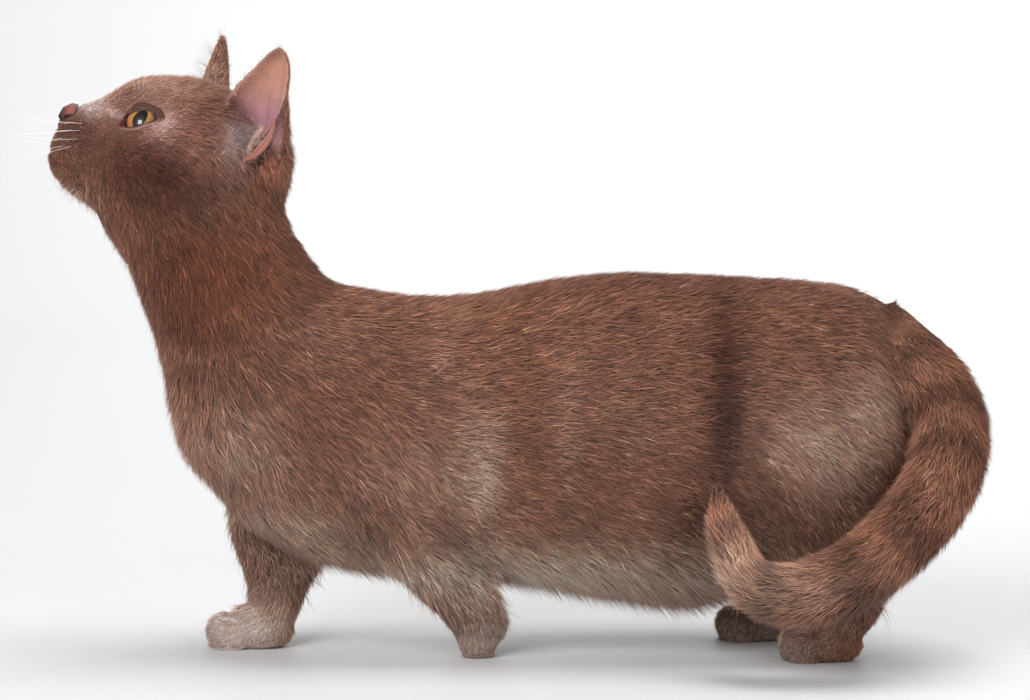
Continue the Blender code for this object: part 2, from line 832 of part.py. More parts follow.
def main():
    clear_scene()
    coat = material("coat", COAT, 0.85)
    eye = material("eye", AMBER, 0.08, 1.0)
    leather = material("nose_leather", NOSE_SKIN, 0.45)
    body = thinned(sculpt(), BODY_TRIANGLES)
    rind = swollen(body, SEAM)
    tail = biggest(cut(skin_rings(tail_rings(tail_part(0.06, 1.0, 32), 16)), rind))
    left, right = (biggest(cut(shape, rind)) for shape in ears())
    body = cut(body, box((0, 0, -20), (400, 300, 20)))
    body, eyes = open_face(body)
    body, nose = part_nose(body)
    for slab in seams():
        body = cut(body, slab)
    solids = {}
    for part in loose_parts(body):
        points = read_points(part)
        middle = (points.max(axis=0) + points.min(axis=0)) / 2
        name = min(PLACES, key=lambda n: np.linalg.norm(middle - np.array(PLACES[n])))
        print("part", name, len(part.vertices), np.round(middle, 1), round(bulk(part), 1))
        solids[name] = (part, coat)
    solids["nose"] = (biggest(nose), leather)
    solids["eye_left"], solids["eye_right"] = (eyes[0], eye), (eyes[1], eye)
    solids["ear_left"] = (decimated(left, EAR_TRIANGLES), coat)
    solids["ear_right"] = (decimated(right, EAR_TRIANGLES), coat)
    for name, part in zip(("tail_base", "tail_middle", "tail_tip"), split_tail(tail)):
        solids[name] = (part, coat)
    finish(solids)


main()
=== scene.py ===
import math

import bmesh
import bpy
import numpy as np
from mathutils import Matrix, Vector
from mathutils.bvhtree import BVHTree


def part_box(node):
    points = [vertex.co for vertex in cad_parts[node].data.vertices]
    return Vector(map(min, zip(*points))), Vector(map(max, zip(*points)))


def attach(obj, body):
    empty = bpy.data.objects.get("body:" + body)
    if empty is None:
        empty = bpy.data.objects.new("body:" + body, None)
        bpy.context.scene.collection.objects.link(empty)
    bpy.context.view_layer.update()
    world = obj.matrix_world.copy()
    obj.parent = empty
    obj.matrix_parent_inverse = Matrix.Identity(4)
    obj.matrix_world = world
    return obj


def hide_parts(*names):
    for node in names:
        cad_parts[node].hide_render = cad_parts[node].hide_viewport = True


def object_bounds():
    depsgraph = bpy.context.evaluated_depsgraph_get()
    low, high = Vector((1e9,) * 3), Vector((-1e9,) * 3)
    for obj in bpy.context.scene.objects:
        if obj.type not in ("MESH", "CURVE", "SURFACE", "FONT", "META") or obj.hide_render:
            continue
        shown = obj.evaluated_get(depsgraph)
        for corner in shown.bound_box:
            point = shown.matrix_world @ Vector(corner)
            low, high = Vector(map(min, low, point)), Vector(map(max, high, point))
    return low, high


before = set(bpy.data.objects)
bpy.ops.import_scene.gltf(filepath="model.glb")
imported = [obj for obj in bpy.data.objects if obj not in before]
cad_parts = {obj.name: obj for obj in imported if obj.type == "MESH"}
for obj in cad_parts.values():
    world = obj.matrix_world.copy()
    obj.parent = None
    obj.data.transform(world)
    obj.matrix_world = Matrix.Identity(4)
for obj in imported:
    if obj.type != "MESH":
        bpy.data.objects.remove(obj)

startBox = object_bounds()
mm = 0.001

fleshNodes = [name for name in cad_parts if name.split("_")[0] not in ("eye", "nose")]
print("cat: the frame is in, flesh nodes", len(fleshNodes))


def tone(red, green, blue):
    # a screen colour, 0 to 255, as light
    return np.array([(c / 255 / 12.92 if c < 10.3 else ((c / 255 + 0.055) / 1.055) ** 2.4)
                     for c in (red, green, blue)])


# the middle of the body from side to side, and the head's own axes
torsoMiddle = sum(np.array(c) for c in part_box("torso")) / 2
midX = torsoMiddle[0] - 10.4 * mm
midY = torsoMiddle[1] + 0.1 * mm
headFacts = {"pitch": 25.0, "eyeForward": 14.2 * mm, "eyeUp": -0.6 * mm}
eyeMiddle = {side: sum(np.array(c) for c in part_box("eye_" + side)) / 2 for side in ("left", "right")}
headLeft = eyeMiddle["left"] - eyeMiddle["right"]
headLeft /= np.linalg.norm(headLeft)
headLevel = np.cross(headLeft, (0, 0, 1))
headTilt = math.radians(headFacts["pitch"])
headForward = headLevel * math.cos(headTilt) + np.array((0, 0, 1)) * math.sin(headTilt)
headUp = np.array((0, 0, 1)) * math.cos(headTilt) - headLevel * math.sin(headTilt)
headMiddle = (eyeMiddle["left"] + eyeMiddle["right"]) / 2
headMiddle = headMiddle - headForward * headFacts["eyeForward"] - headUp * headFacts["eyeUp"]


def headSpot(forward, sideways, up):
    # a place in the head's own frame, in mm
    return headMiddle + (headForward * forward + headLeft * sideways + headUp * up) * mm


def bodySpot(x, y, z):
    # a place on the body in mm, y counted from the middle line
    return np.array((x * mm + midX, y * mm + midY, z * mm))


def bodyPlace(points):
    # the reverse of bodySpot: mm, counted from the middle line
    return points / mm - np.array((midX / mm, midY / mm, 0))


def withinBox(name, points, slack):
    low, high = (np.array(c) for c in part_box(name))
    return ((points > low - slack) & (points < high + slack)).all(axis=1), low, high


def readPoints(mesh):
    points = np.empty(len(mesh.vertices) * 3, np.float32)
    mesh.vertices.foreach_get("co", points)
    return points.reshape(-1, 3).astype(float)


def readNormals(mesh):
    normals = np.empty(len(mesh.vertices) * 3, np.float32)
    mesh.vertices.foreach_get("normal", normals)
    return normals.reshape(-1, 3).astype(float)


def writePoints(mesh, points):
    mesh.vertices.foreach_set("co", points.astype(np.float32).ravel())
    mesh.update()


def readTriangles(mesh):
    mesh.calc_loop_triangles()
    corners = np.empty(len(mesh.loop_triangles) * 3, np.int32)
    mesh.loop_triangles.foreach_get("vertices", corners)
    return corners.reshape(-1, 3)


def evaluated(mesh, dress):
    # the mesh after the modifiers that dress() puts on it
    holder = bpy.data.objects.new("holder", mesh)
    bpy.context.collection.objects.link(holder)
    dress(holder)
    graph = bpy.context.evaluated_depsgraph_get()
    result = bpy.data.meshes.new_from_object(holder.evaluated_get(graph))
    bpy.data.objects.remove(holder, do_unlink=True)
    return result


def addPiece(name, mesh, material, slotName, *replaced):
    mesh.name = name
    mesh.materials.clear()
    mesh.materials.append(material)
    piece = bpy.data.objects.new(name, mesh)
    bpy.context.collection.objects.link(piece)
    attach(piece, "root")
    if replaced:
        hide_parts(*replaced)
    return piece


def neighbours(mesh):
    edges = np.empty(len(mesh.edges) * 2, np.int32)
    mesh.edges.foreach_get("vertices", edges)
    a, b = edges.reshape(-1, 2).T
    degree = np.bincount(np.concatenate((a, b)), minlength=len(mesh.vertices))
    return a, b, np.maximum(degree, 1)[:, None]


def averaged(values, links):
    a, b, degree = links
    total = np.zeros_like(values)
    for i in range(values.shape[1]):
        total[:, i] = np.bincount(a, values[b, i], len(values))
        total[:, i] += np.bincount(b, values[a, i], len(values))
    return total / degree


def soften(values, rounds, links):
    # a column of values, averaged with their neighbours
    values = values[:, None]
    for _ in range(rounds):
        values = averaged(values, links)
    return values[:, 0]


def smoothStep(value, low, high):
    t = np.clip((value - low) / (high - low), 0, 1)
    return t * t * (3 - 2 * t)


# The skin

skinLook = {
    "grow": 0.25 * mm,  # closes the open seams between the solids
    "voxel": 1.1 * mm,
    "rounds": 34,
    "triangles": 180000,
}
# for each part: coat depth, tuft length, lift in degrees, tuft width
coatLook = {
    "torso": (2.4, 8.0, 13, 0.48),
    "neck": (2.4, 7.5, 15, 0.46),
    "head": (1.0, 4.2, 17, 0.32),
    "ear": (0.35, 2.4, 12, 0.25),
    "foreleg": (1.5, 5.0, 15, 0.38),
    "hindleg": (1.5, 5.2, 15, 0.38),
    "forepaw": (0.8, 3.0, 15, 0.31),
    "hindpaw": (0.8, 3.0, 15, 0.31),
    "tail": (2.0, 8.0, 16, 0.46),
}
regionNames = list(coatLook)


def nodeShell(name, grow):
    work = bmesh.new()
    work.from_mesh(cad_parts[name].data)
    bmesh.ops.remove_doubles(work, verts=work.verts, dist=1e-6)
    work.normal_update()
    moves = [v.normal * grow for v in work.verts]
    for vert, move in zip(work.verts, moves):
        vert.co += move
    mesh = bpy.data.meshes.new("shell")
    work.to_mesh(mesh)
    work.free()
    return mesh


def fair(points, links, rounds, firm=1.0):
    # smooths without shrinking: each step in is followed by a slightly longer one out
    for turn in range(rounds):
        points = points + firm * (-0.53 if turn % 2 else 0.5) * (averaged(points, links) - points)
    return points


def meshParts(mesh):
    return [v.co.copy() for v in mesh.vertices], [tuple(int(k) for k in t) for t in readTriangles(mesh)]


def regionFinder():
    # tells which node's surface a place is nearest to
    corners, faces, owner = [], [], []
    for name in fleshNodes:
        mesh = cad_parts[name].data
        start = len(corners)
        corners.extend(v.co.copy() for v in mesh.vertices)
        for triangle in readTriangles(mesh):
            faces.append(tuple(int(k) + start for k in triangle))
            owner.append(regionNames.index(name.split("_")[0]))
    tree = BVHTree.FromPolygons(corners, faces)
    return lambda points: np.array([owner[tree.find_nearest(Vector(p))[2]] for p in points])


def largestPart(mesh):
    work = bmesh.new()
    work.from_mesh(mesh)
    work.verts.ensure_lookup_table()
    label = np.full(len(work.verts), -1)
    count = 0
    for start in work.verts:
        if label[start.index] >= 0:
            continue
        label[start.index] = count
        stack = [start]
        while stack:
            for edge in stack.pop().link_edges:
                for other in edge.verts:
                    if label[other.index] < 0:
                        label[other.index] = count
                        stack.append(other)
        count += 1
    best = np.bincount(label).argmax()
    bmesh.ops.delete(work, geom=[v for v in work.verts if label[v.index] != best], context="VERTS")
    result = bpy.data.meshes.new("skin")
    work.to_mesh(result)
    work.free()
    return result


# The lid opening, as seen from the middle of the eyeball: degrees outwards from straight ahead, degrees up
lidLook = {
    "opening": ((3, -15), (6, -9), (18, -3), (30, 4), (44, 12), (56, 19), (68, 24), (77, 22), (84.5, 16),
                (86, 11), (77.6, 3), (68.5, -6), (57, -14.6), (44.5, -20.5), (28, -25), (13, -24)),
    "axis": (0.66, 0.75, -0.02),  # forward, outwards, up
    "above": 5.6, "below": 1.8,  # mm of bare lid skin round the opening
    "thick": 0.9, "span": 19.0,  # mm of skin, and how far from the eyeball's middle the lids reach at most
}
eyeRadius = (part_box("eye_left")[1][2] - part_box("eye_left")[0][2]) / 2 / mm


def headWay(out, sideDegrees, upDegrees):
    # a direction from its angles, for the eye on side out
    side, up = np.radians(sideDegrees), np.radians(upDegrees)
    return (headForward * np.multiply.outer(np.cos(up) * np.cos(side), (1, 1, 1))
            + headLeft * out * np.multiply.outer(np.cos(up) * np.sin(side), (1, 1, 1))
            + headUp * np.multiply.outer(np.sin(up), (1, 1, 1)))


class EyeFrame:
    def __init__(self, side):
        self.out = 1 if side == "left" else -1
        self.middle = eyeMiddle[side]
        forward, sideways, up = np.array(lidLook["axis"]) / np.linalg.norm(lidLook["axis"])
        self.axis = headForward * forward + headLeft * self.out * sideways + headUp * up
        outward = headLeft * self.out * forward - headForward * sideways
        outward -= self.axis * outward.dot(self.axis)
        self.outward = outward / np.linalg.norm(outward)
        self.rise = np.cross(self.axis, self.outward) * self.out
        loop = smoothPath([tuple(p) for p in lidLook["opening"] + lidLook["opening"][:1]], 161)[:-1]
        ways = headWay(self.out, loop[:, 0], loop[:, 1])
        turn, open_ = self.polar(ways)
        order = np.argsort(turn)
        self.turns = np.concatenate((turn[order] - math.tau, turn[order], turn[order] + math.tau))
        self.opens = np.tile(open_[order], 3)

    def polar(self, ways):
        # angle round the axis and distance from it along the eyeball, in mm
        ways = ways / np.linalg.norm(ways, axis=-1)[..., None]
        turn = np.arctan2(ways @ self.rise, ways @ self.outward)
        return turn, np.arccos(np.clip(ways @ self.axis, -1, 1)) * eyeRadius

    def way(self, turn, distance):
        lean = distance / eyeRadius
        flat = (np.multiply.outer(np.cos(turn), self.outward) + np.multiply.outer(np.sin(turn), self.rise))
        return flat * np.sin(lean)[..., None] + np.multiply.outer(np.cos(lean), self.axis)

    def margin(self, turn):
        return np.interp(turn, self.turns, self.opens)

    def inFront(self, points, reach):
        return ((points - self.middle) @ self.axis > 0) & (reach < lidLook["span"])

    def fromMargin(self, points):
        # mm outside the lid margin, and the distance from the eyeball's middle
        away = points - self.middle
        reach = np.linalg.norm(away, axis=1)
        turn, distance = self.polar(away / np.maximum(reach, 1e-9)[:, None])
        return distance - self.margin(turn), reach / mm, turn


def lidReach(turn):
    return lidLook["below"] + (lidLook["above"] - lidLook["below"]) * smoothStep(np.sin(turn), 0.0, 0.6)


def lidRadius(turn, offset, skinReach):
    # how far the lid's skin lies from the eyeball's middle, in mm
    start = eyeRadius + 0.25 + 0.75 * np.clip(offset / 0.5, 0, 1) ** 0.5
    upper = smoothStep(np.sin(turn), 0.05, 0.6)
    fold = upper * 0.32 * (np.exp(-((offset - 1.5) / 0.3) ** 2) + np.exp(-((offset - 2.8) / 0.3) ** 2)
                           + 0.7 * np.exp(-((offset - 4.0) / 0.3) ** 2))
    share = smoothStep(offset, np.minimum(0.6, lidReach(turn) * 0.3), lidReach(turn) - 0.3)
    reach = np.clip(skinReach - 0.5, eyeRadius + 0.5, eyeRadius + 5.5)
    return start + (reach - start) * share - fold


mouthLine = ((48.8, 2.2, -29), (46.5, 7, -32), (39, 12.5, -33), (31, 16.5, -32), (23, 19.5, -30.8))
philtrum = ((51, 0, -19.5), (50.5, 0, -22), (49.5, 0, -25), (48.5, 0, -29))


def smoothPath(points, count):
    table = np.array(points, float)
    last = len(table) - 1
    out = []
    for t in np.linspace(0, last, count):
        i = min(int(t), last - 1)
        s = t - i
        a, b = table[max(i - 1, 0)], table[i]
        c, d = table[i + 1], table[min(i + 2, last)]
        out.append(0.5 * (2 * b + (c - a) * s + (2 * a - 5 * b + 4 * c - d) * s * s
                          + (3 * b - a - 3 * c + d) * s ** 3))
    return np.array(out)


def nearestOn(path, points):
    best = np.full(len(points), 1e9)
    which = np.zeros(len(points), int)
    for i, spot in enumerate(path):
        away = np.linalg.norm(points - spot, axis=1)
        closer = away < best
        best[closer] = away[closer]
        which[closer] = i
    return best, which


# fillings that round the back of the near ear into the nape: place and half sizes in mm
earBacks = (((-101.5, -30, 229), (5.0, 10, 20)), ((-103, -24, 214), (7, 12, 12)))


def roundShell(spot, size):
    work = bmesh.new()
    bmesh.ops.create_icosphere(work, subdivisions=4, radius=1.0)
    for vert in work.verts:
        vert.co = Vector(bodySpot(*spot)) + Vector([c * r * mm for c, r in zip(vert.co, size)])
    mesh = bpy.data.meshes.new("filling")
    work.to_mesh(mesh)
    work.free()
    return mesh


def makeSkin():
    shells = [nodeShell(name, skinLook["grow"]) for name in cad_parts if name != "nose"]
    shells += [roundShell(spot, size) for spot, size in earBacks]
    work = bmesh.new()
    for shell in shells:
        work.from_mesh(shell)
    joined = bpy.data.meshes.new("joined")
    work.to_mesh(joined)
    work.free()

    def voxels(holder):
        remesh = holder.modifiers.new("remesh", "REMESH")
        remesh.mode = "VOXEL"
        remesh.voxel_size = skinLook["voxel"]

    mesh = largestPart(evaluated(joined, voxels))
    print("cat: skin remeshed,", len(mesh.vertices), "points")
    points = readPoints(mesh)
    links = neighbours(mesh)
    # ears and lids stay crisp, the rest loses the solids' facets
    firm = np.ones(len(points))
    for name in ("ear_left", "ear_right"):
        inside, _, _ = withinBox(name, points, 2 * mm)
        firm[inside] = 0.4
    for middle in eyeMiddle.values():
        firm[np.linalg.norm(points - middle, axis=1) < 15 * mm] = 0.35
    points = fair(points, links, skinLook["rounds"], soften(firm, 2, links)[:, None])
    writePoints(mesh, points)

    def thin(holder):
        group = holder.vertex_groups.new(name="keep")
        where = readPoints(holder.data)
        keep = np.where((where[:, 2] > 185 * mm) & (where[:, 0] < -80 * mm), 0.7, 0.0)
        keep[where[:, 2] < 22 * mm] = 0.4
        for level in np.unique(keep):
            group.add(np.where(keep == level)[0].tolist(), float(level), "REPLACE")
        modifier = holder.modifiers.new("thin", "DECIMATE")
        modifier.ratio = skinLook["triangles"] / (2 * len(holder.data.polygons))
        modifier.vertex_group = "keep"
        modifier.invert_vertex_group = True
        modifier.use_collapse_triangulate = True

    mesh = evaluated(mesh, thin)
    print("cat: skin thinned,", len(mesh.polygons), "faces")
    return mesh


skinMesh = makeSkin()
skinRegion = regionFinder()(readPoints(skinMesh))


# The tail's middle line, as the solids have it, in mm with y from the body's middle
tailLine = ((136, 2, 137), (150, -1, 136), (161.6, -7, 128.8), (170.4, -16, 121.2), (177.4, -26, 111),
            (180.6, -36, 100.2), (178.6, -48, 87), (169.5, -60.5, 71.9), (155.4, -71, 57.6),
            (137.5, -78.5, 44.5), (116, -81.5, 37), (98, -79, 39.5), (88.5, -73.5, 52),
            (83.4, -69.5, 66), (81.2, -67.5, 80))
tailPath = smoothPath([bodySpot(*p) for p in tailLine], 140)
tailHeading = np.gradient(tailPath, axis=0)
tailHeading /= np.linalg.norm(tailHeading, axis=1)[:, None]


# The lie of the coat: place (x, side, height in mm) and the way the hair points
lieGuides = (
    (-187, 0, 239, 0.9, 0, 0.4), (-160, 0, 248, 1, 0, 0.1), (-130, 0, 246, 1, 0, -0.25),
    (-103, 0, 215, 0.3, 0, -1), (-192, 15, 222, 0.8, 0.3, -0.35), (-200, 5, 214, 0.3, 0.5, -0.8),
    (-192, 0, 201, 0.85, 0, -0.45), (-172, 30, 214, 0.85, 0.1, -0.45), (-167, 28, 222, 0.85, 0.15, -0.4),
    (-158, 27, 244, 0.8, 0.4, 0.2), (-143, 34, 232, 0.95, 0, -0.1), (-133, 38, 208, 0.6, 0, -0.8),
    (-150, 30, 195, 0.6, 0, -0.8), (-178, 0, 188, 0.5, 0, -0.85), (-165, 20, 192, 0.6, 0, -0.75),
    (-105, 30, 218, 0.25, 0, -1),
    (-168, 8, 160, 0.12, 0, -1), (-130, 32, 170, 0.35, 0, -0.93), (-97, 20, 185, 0.4, 0, -0.9),
    (-84, 10, 166, 0.85, 0, -0.5), (-150, 30, 145, 0.25, 0, -0.95), (-115, 38, 150, 0.5, 0, -0.85),
    (-157, 0, 120, 0.15, 0, -1), (-150, 22, 100, 0.3, 0.1, -0.95), (-130, 34, 82, 0.55, 0.1, -0.8),
    (-112, 42, 108, 0.65, 0.1, -0.7), (-115, 20, 52, 0.85, 0, -0.4), (-135, 0, 72, 0.6, 0, -0.8),
    (-85, 46, 130, 0.85, 0.05, -0.5), (-68, 50, 98, 0.78, 0, -0.6), (-58, 46, 62, 0.6, 0, -0.8),
    (-60, 0, 155, 1, 0, -0.03), (0, 0, 158, 1, 0, 0.04), (60, 0, 163, 1, 0, 0), (120, 0, 160, 1, 0, -0.1),
    (-20, 50, 125, 1, 0, -0.1), (40, 55, 125, 1, 0, -0.1), (90, 54, 125, 1, 0, -0.14),
    (-20, 46, 62, 0.95, 0, -0.3), (40, 50, 60, 0.94, 0, -0.32), (80, 50, 50, 0.9, 0, -0.42),
    (-60, 12, 38, 0.95, 0.1, -0.2), (0, 15, 34, 0.92, 0.1, -0.3), (60, 15, 23, 0.88, 0.1, -0.4),
    (125, 50, 112, 0.88, 0, -0.45), (128, 52, 72, 0.62, 0, -0.78), (157, 28, 112, 0.55, 0, -0.8),
    (160, 0, 143, 0.85, 0, -0.5), (160, 20, 75, 0.1, 0, -1), (100, 20, 30, 0.8, 0, -0.6),
)
legGuides = (
    (-35, -30, 32, 0.4, 0.25, -0.85), (-22, -16, 14, 0.1, 0, -1), (-22, -13, 5, -0.35, 0, -0.9),
    (-106, 22, 34, 0.05, -0.2, -1), (-110, 10, 18, -0.2, 0, -1), (-122, 9, 12, -0.85, 0, -0.4),
    (-133, 9, 7, -0.9, 0, -0.35), (138, -31, 38, 0.25, 0, -1), (142, -26, 20, -0.3, 0, -0.9),
    (128, -25, 10, -0.85, 0, -0.35), (112, 31, 38, 0.25, 0, -1), (117, 30, 20, -0.3, 0, -0.9),
    (102, 29, 10, -0.85, 0, -0.35),
)


def layHair(points, normals, region):
    spots, ways = [], []
    for x, side, z, dx, dy, dz in lieGuides:
        for sign in ((1, -1) if side else (1,)):
            spots.append(bodySpot(x, side * sign, z))
            ways.append((dx, dy * sign, dz))
    for x, y, z, dx, dy, dz in legGuides:
        spots.append(bodySpot(x, y, z))
        ways.append((dx, dy, dz))
    way = np.zeros_like(points)
    for spot, aim in zip(spots, ways):
        away = ((points - spot) ** 2).sum(axis=1)
        way += (np.exp(-away / (2 * (17 * mm) ** 2)) + 1e-7)[:, None] * np.array(aim)
    onTail = region == regionNames.index("tail")
    if onTail.any():
        _, which = nearestOn(tailPath, points[onTail])
        way[onTail] = tailHeading[which]
    onTrunk = (region == regionNames.index("torso")) & (points[:, 0] > bodySpot(120, 0, 0)[0])
    if onTrunk.any():
        gap, which = nearestOn(tailPath[:30], points[onTrunk])
        share = np.exp(-(gap / (26 * mm)) ** 2)[:, None]
        length = np.linalg.norm(way[onTrunk], axis=1)[:, None]
        way[onTrunk] = way[onTrunk] * (1 - share) + tailHeading[which] * length * share
    for name in ("ear_left", "ear_right"):
        onEar, low, high = withinBox(name, points, 3 * mm)
        onEar &= region == regionNames.index("ear")
        tip = high.copy()
        tip[1] = low[1] + 3 * mm if name == "ear_left" else high[1] - 6 * mm
        tip[0] = high[0] - 3 * mm if name == "ear_left" else (low[0] + high[0]) / 2
        way[onEar] = tip - points[onEar]
    way -= normals * (way * normals).sum(axis=1)[:, None]
    return way / np.maximum(np.linalg.norm(way, axis=1), 1e-9)[:, None]


# Markings, with painted shade and painted light among them, shared by skin and coat: place and reach in mm (x,
# side, height), colour, strength
coatBase = tone(124, 88, 72)
markingsShadeAndLight = (
    # the neck and throat are darkened under the jaw: painted shade
    ("darker neck", (-132, 30, 166), (34, 60, 30), tone(106, 60, 40), 0.85),
    ("dark throat", (-150, 10, 168), (20, 30, 22), tone(92, 54, 40), 0.7),
    # the neck bands lie in the two folds of the neck: painted shade in the creases, and the pale band between
    # them is painted light on the ridge
    ("neck band", (-150, 30, 146), (24, 60, 5), tone(94, 56, 42), 0.6),
    ("neck band", (-132, 38, 141), (18, 60, 4), tone(90, 54, 40), 0.5),
    ("neck band", (-143, 32, 125), (20, 60, 4), tone(84, 52, 41), 0.6),
    ("pale neck band", (-140, 35, 134), (26, 60, 4), tone(128, 94, 80), 0.5),
    ("pale chest", (-122, 35, 92), (26, 60, 20), tone(166, 138, 126), 0.8),
    ("chest front", (-138, 10, 98), (14, 40, 26), tone(138, 104, 90), 0.6),
    ("pale brisket", (-100, 25, 58), (30, 60, 12), tone(172, 147, 134), 0.8),
    ("dark shoulder", (-80, 45, 143), (26, 60, 14), tone(138, 103, 89), 0.6),
    ("shoulder", (-92, 48, 104), (16, 40, 18), tone(108, 72, 58), 0.5),
    ("pale shoulder blade", (-38, 46, 130), (10, 50, 22), tone(142, 108, 95), 0.5),
    ("upper arm", (-50, 52, 80), (22, 44, 20), tone(164, 132, 118), 0.6),
    ("dark fore edge", (-62, 45, 60), (10, 40, 20), tone(84, 54, 43), 0.6),
    ("dark foreleg", (-36, 36, 44), (13, 24, 13), tone(84, 55, 43), 0.7),
    ("pale elbow", (-20, 50, 84), (10, 40, 24), tone(188, 162, 148), 0.65),
    # the dark band and the darker far front leg below the chest are the chest's painted shadow
    ("dark leg band", (-107, 0, 48), (16, 60, 6), tone(72, 42, 32), 0.75),
    ("dark far leg", (-108, 12, 34), (16, 30, 15), tone(76, 46, 36), 0.7),
    ("flank shade", (0, 50, 108), (8, 50, 34), tone(108, 72, 57), 0.45),
    ("pale flank streak", (16, 50, 103), (6, 50, 28), tone(148, 116, 102), 0.6),
    ("pale flank", (42, 52, 104), (16, 50, 16), tone(138, 106, 92), 0.4),
    ("dark flank band", (83, 52, 126), (9, 60, 36), tone(60, 25, 14), 0.82),
    ("dark flank band", (81, 52, 98), (7, 60, 20), tone(54, 21, 11), 0.82),
    ("pale thigh", (121, 52, 95), (22, 40, 20), tone(184, 154, 140), 0.75),
    ("pale haunch", (146, 46, 112), (12, 40, 16), tone(184, 156, 142), 0.6),
    ("dark thigh edge", (104, 52, 74), (9, 50, 12), tone(104, 71, 57), 0.5),
    ("dark back", (40, 0, 162), (110, 34, 10), tone(84, 52, 39), 0.83),
    ("dark rump", (140, 10, 152), (26, 40, 12), tone(116, 82, 67), 0.6),
    # the low loop of the tail under the thigh is darkened: painted shade
    ("tail underside", (122, 80, 34), (34, 22, 11), tone(72, 42, 30), 0.75),
    ("tail tip", (80, 68, 76), (12, 10, 18), tone(96, 66, 52), 0.6),
    ("pale belly", (10, 40, 40), (110, 70, 14), tone(186, 166, 152), 0.83),
    # belly shade is painted shade where the flank turns under to the belly
    ("belly shade", (30, 45, 58), (90, 50, 8), tone(118, 86, 70), 0.35),
    # the far front foot is pale, and is painted paler still: painted light on it
    ("pale front foot", (-120, 9, 8), (22, 24, 14), tone(230, 205, 196), 0.88),
    ("pale front leg", (-110, 16, 26), (16, 20, 12), tone(140, 110, 96), 0.5),
    ("pale front foot", (-17, 14, 9), (14, 24, 15), tone(184, 166, 157), 0.85),
    ("pale shin", (-14, 36, 30), (7, 30, 14), tone(158, 132, 120), 0.6),
    ("pale hind foot", (104, 29, 6), (26, 24, 11), tone(172, 156, 148), 0.85),
    ("hind foot", (132, 25, 10), (26, 24, 12), tone(132, 100, 86), 0.7),
    ("pink heel", (-99, 14, 6), (6, 12, 6), tone(196, 136, 112), 0.8),
    ("pink heel", (140, 22, 5), (9, 14, 5), tone(196, 128, 104), 0.8),
)
# the same on the head: forward, sideways, up
headMarkingsAndHighlight = (
    ("muzzle", (40, 12, -17), (11, 12, 10), tone(92, 62, 57), 0.85),
    ("dark chin", (45, 6, -34), (9, 12, 5), tone(102, 63, 52), 0.7),
    ("chin", (36, 8, -39), (12, 14, 7), tone(132, 99, 85), 0.65),
    ("cheek", (4, 30, -16), (20, 20, 17), tone(68, 30, 17), 0.95),
    ("cheek stripe", (12, 26, -9), (3.5, 12, 9), tone(54, 28, 18), 0.7),
    ("cheek stripe", (2, 30, -14), (3.2, 12, 8), tone(58, 30, 20), 0.5),
    ("lower cheek", (16, 24, -26), (16, 18, 9), tone(80, 48, 37), 0.7),
    ("jaw", (22, 10, -38), (18, 20, 8), tone(100, 67, 53), 0.5),
    ("nose bridge", (43, 4, -4.5), (9, 12, 4.5), tone(204, 184, 178), 0.85),
    ("bridge", (33, 6, 4), (12, 12, 7), tone(150, 120, 109), 0.6),
    ("forehead", (22, 12, 17), (18, 20, 8), tone(160, 128, 116), 0.8),
    ("crown", (-2, 10, 28), (22, 26, 8), tone(148, 116, 103), 0.7),
    ("temple", (-2, 30, 10), (10, 14, 8), tone(128, 92, 78), 0.6),
    ("behind the eye", (11, 26, 1), (6, 10, 7), tone(218, 172, 168), 0.85),
    ("behind the eye", (-2, 32, -1), (9, 10, 9), tone(150, 108, 98), 0.6),
    ("below the eye", (20, 18, -9), (9, 10, 3), tone(140, 108, 100), 0.5),
    # the pale streak before the eye is the tear duct's pink skin with a painted highlight on it
    ("before the eye", (31.5, 12, -3.2), (5, 10, 1.6), tone(206, 168, 164), 0.8),
    ("ear root", (-20, 36, 2), (9, 12, 11), tone(150, 112, 102), 0.6),
)
# on the near ear and its mirror: place on the body
earMarkings = (
    ("lilac root", (-118.5, 40, 223), (8, 30, 9), tone(218, 202, 212), 0.85),
    ("ear edge", (-122, 36, 240), (7, 14, 5), tone(110, 74, 60), 0.5),
    ("under the ear", (-106, 34, 206), (9, 16, 12), tone(144, 86, 67), 0.75),
    ("ear back", (-97, 38, 228), (4, 14, 20), tone(150, 104, 90), 0.6),
)


def valueNoise(points, size, seed):
    # smooth noise from -1 to 1, the same each run
    cell = points / size
    base = np.floor(cell).astype(np.int64)
    part = cell - base
    part = part * part * (3 - 2 * part)
    total = np.zeros(len(points))
    for corner in range(8):
        bit = np.array((corner & 1, corner >> 1 & 1, corner >> 2 & 1))
        key = base + bit
        mixed = key[:, 0] * 374761393 + key[:, 1] * 668265263 + key[:, 2] * 2147483647 + seed * 974711
        mixed = (mixed ^ (mixed >> 13)) * 1274126177
        mixed = (mixed ^ (mixed >> 16)) & 0xFFFFFF
        weight = np.prod(np.where(bit, part, 1 - part), axis=1)
        total += weight * (mixed / 0x7FFFFF - 1)
    return total


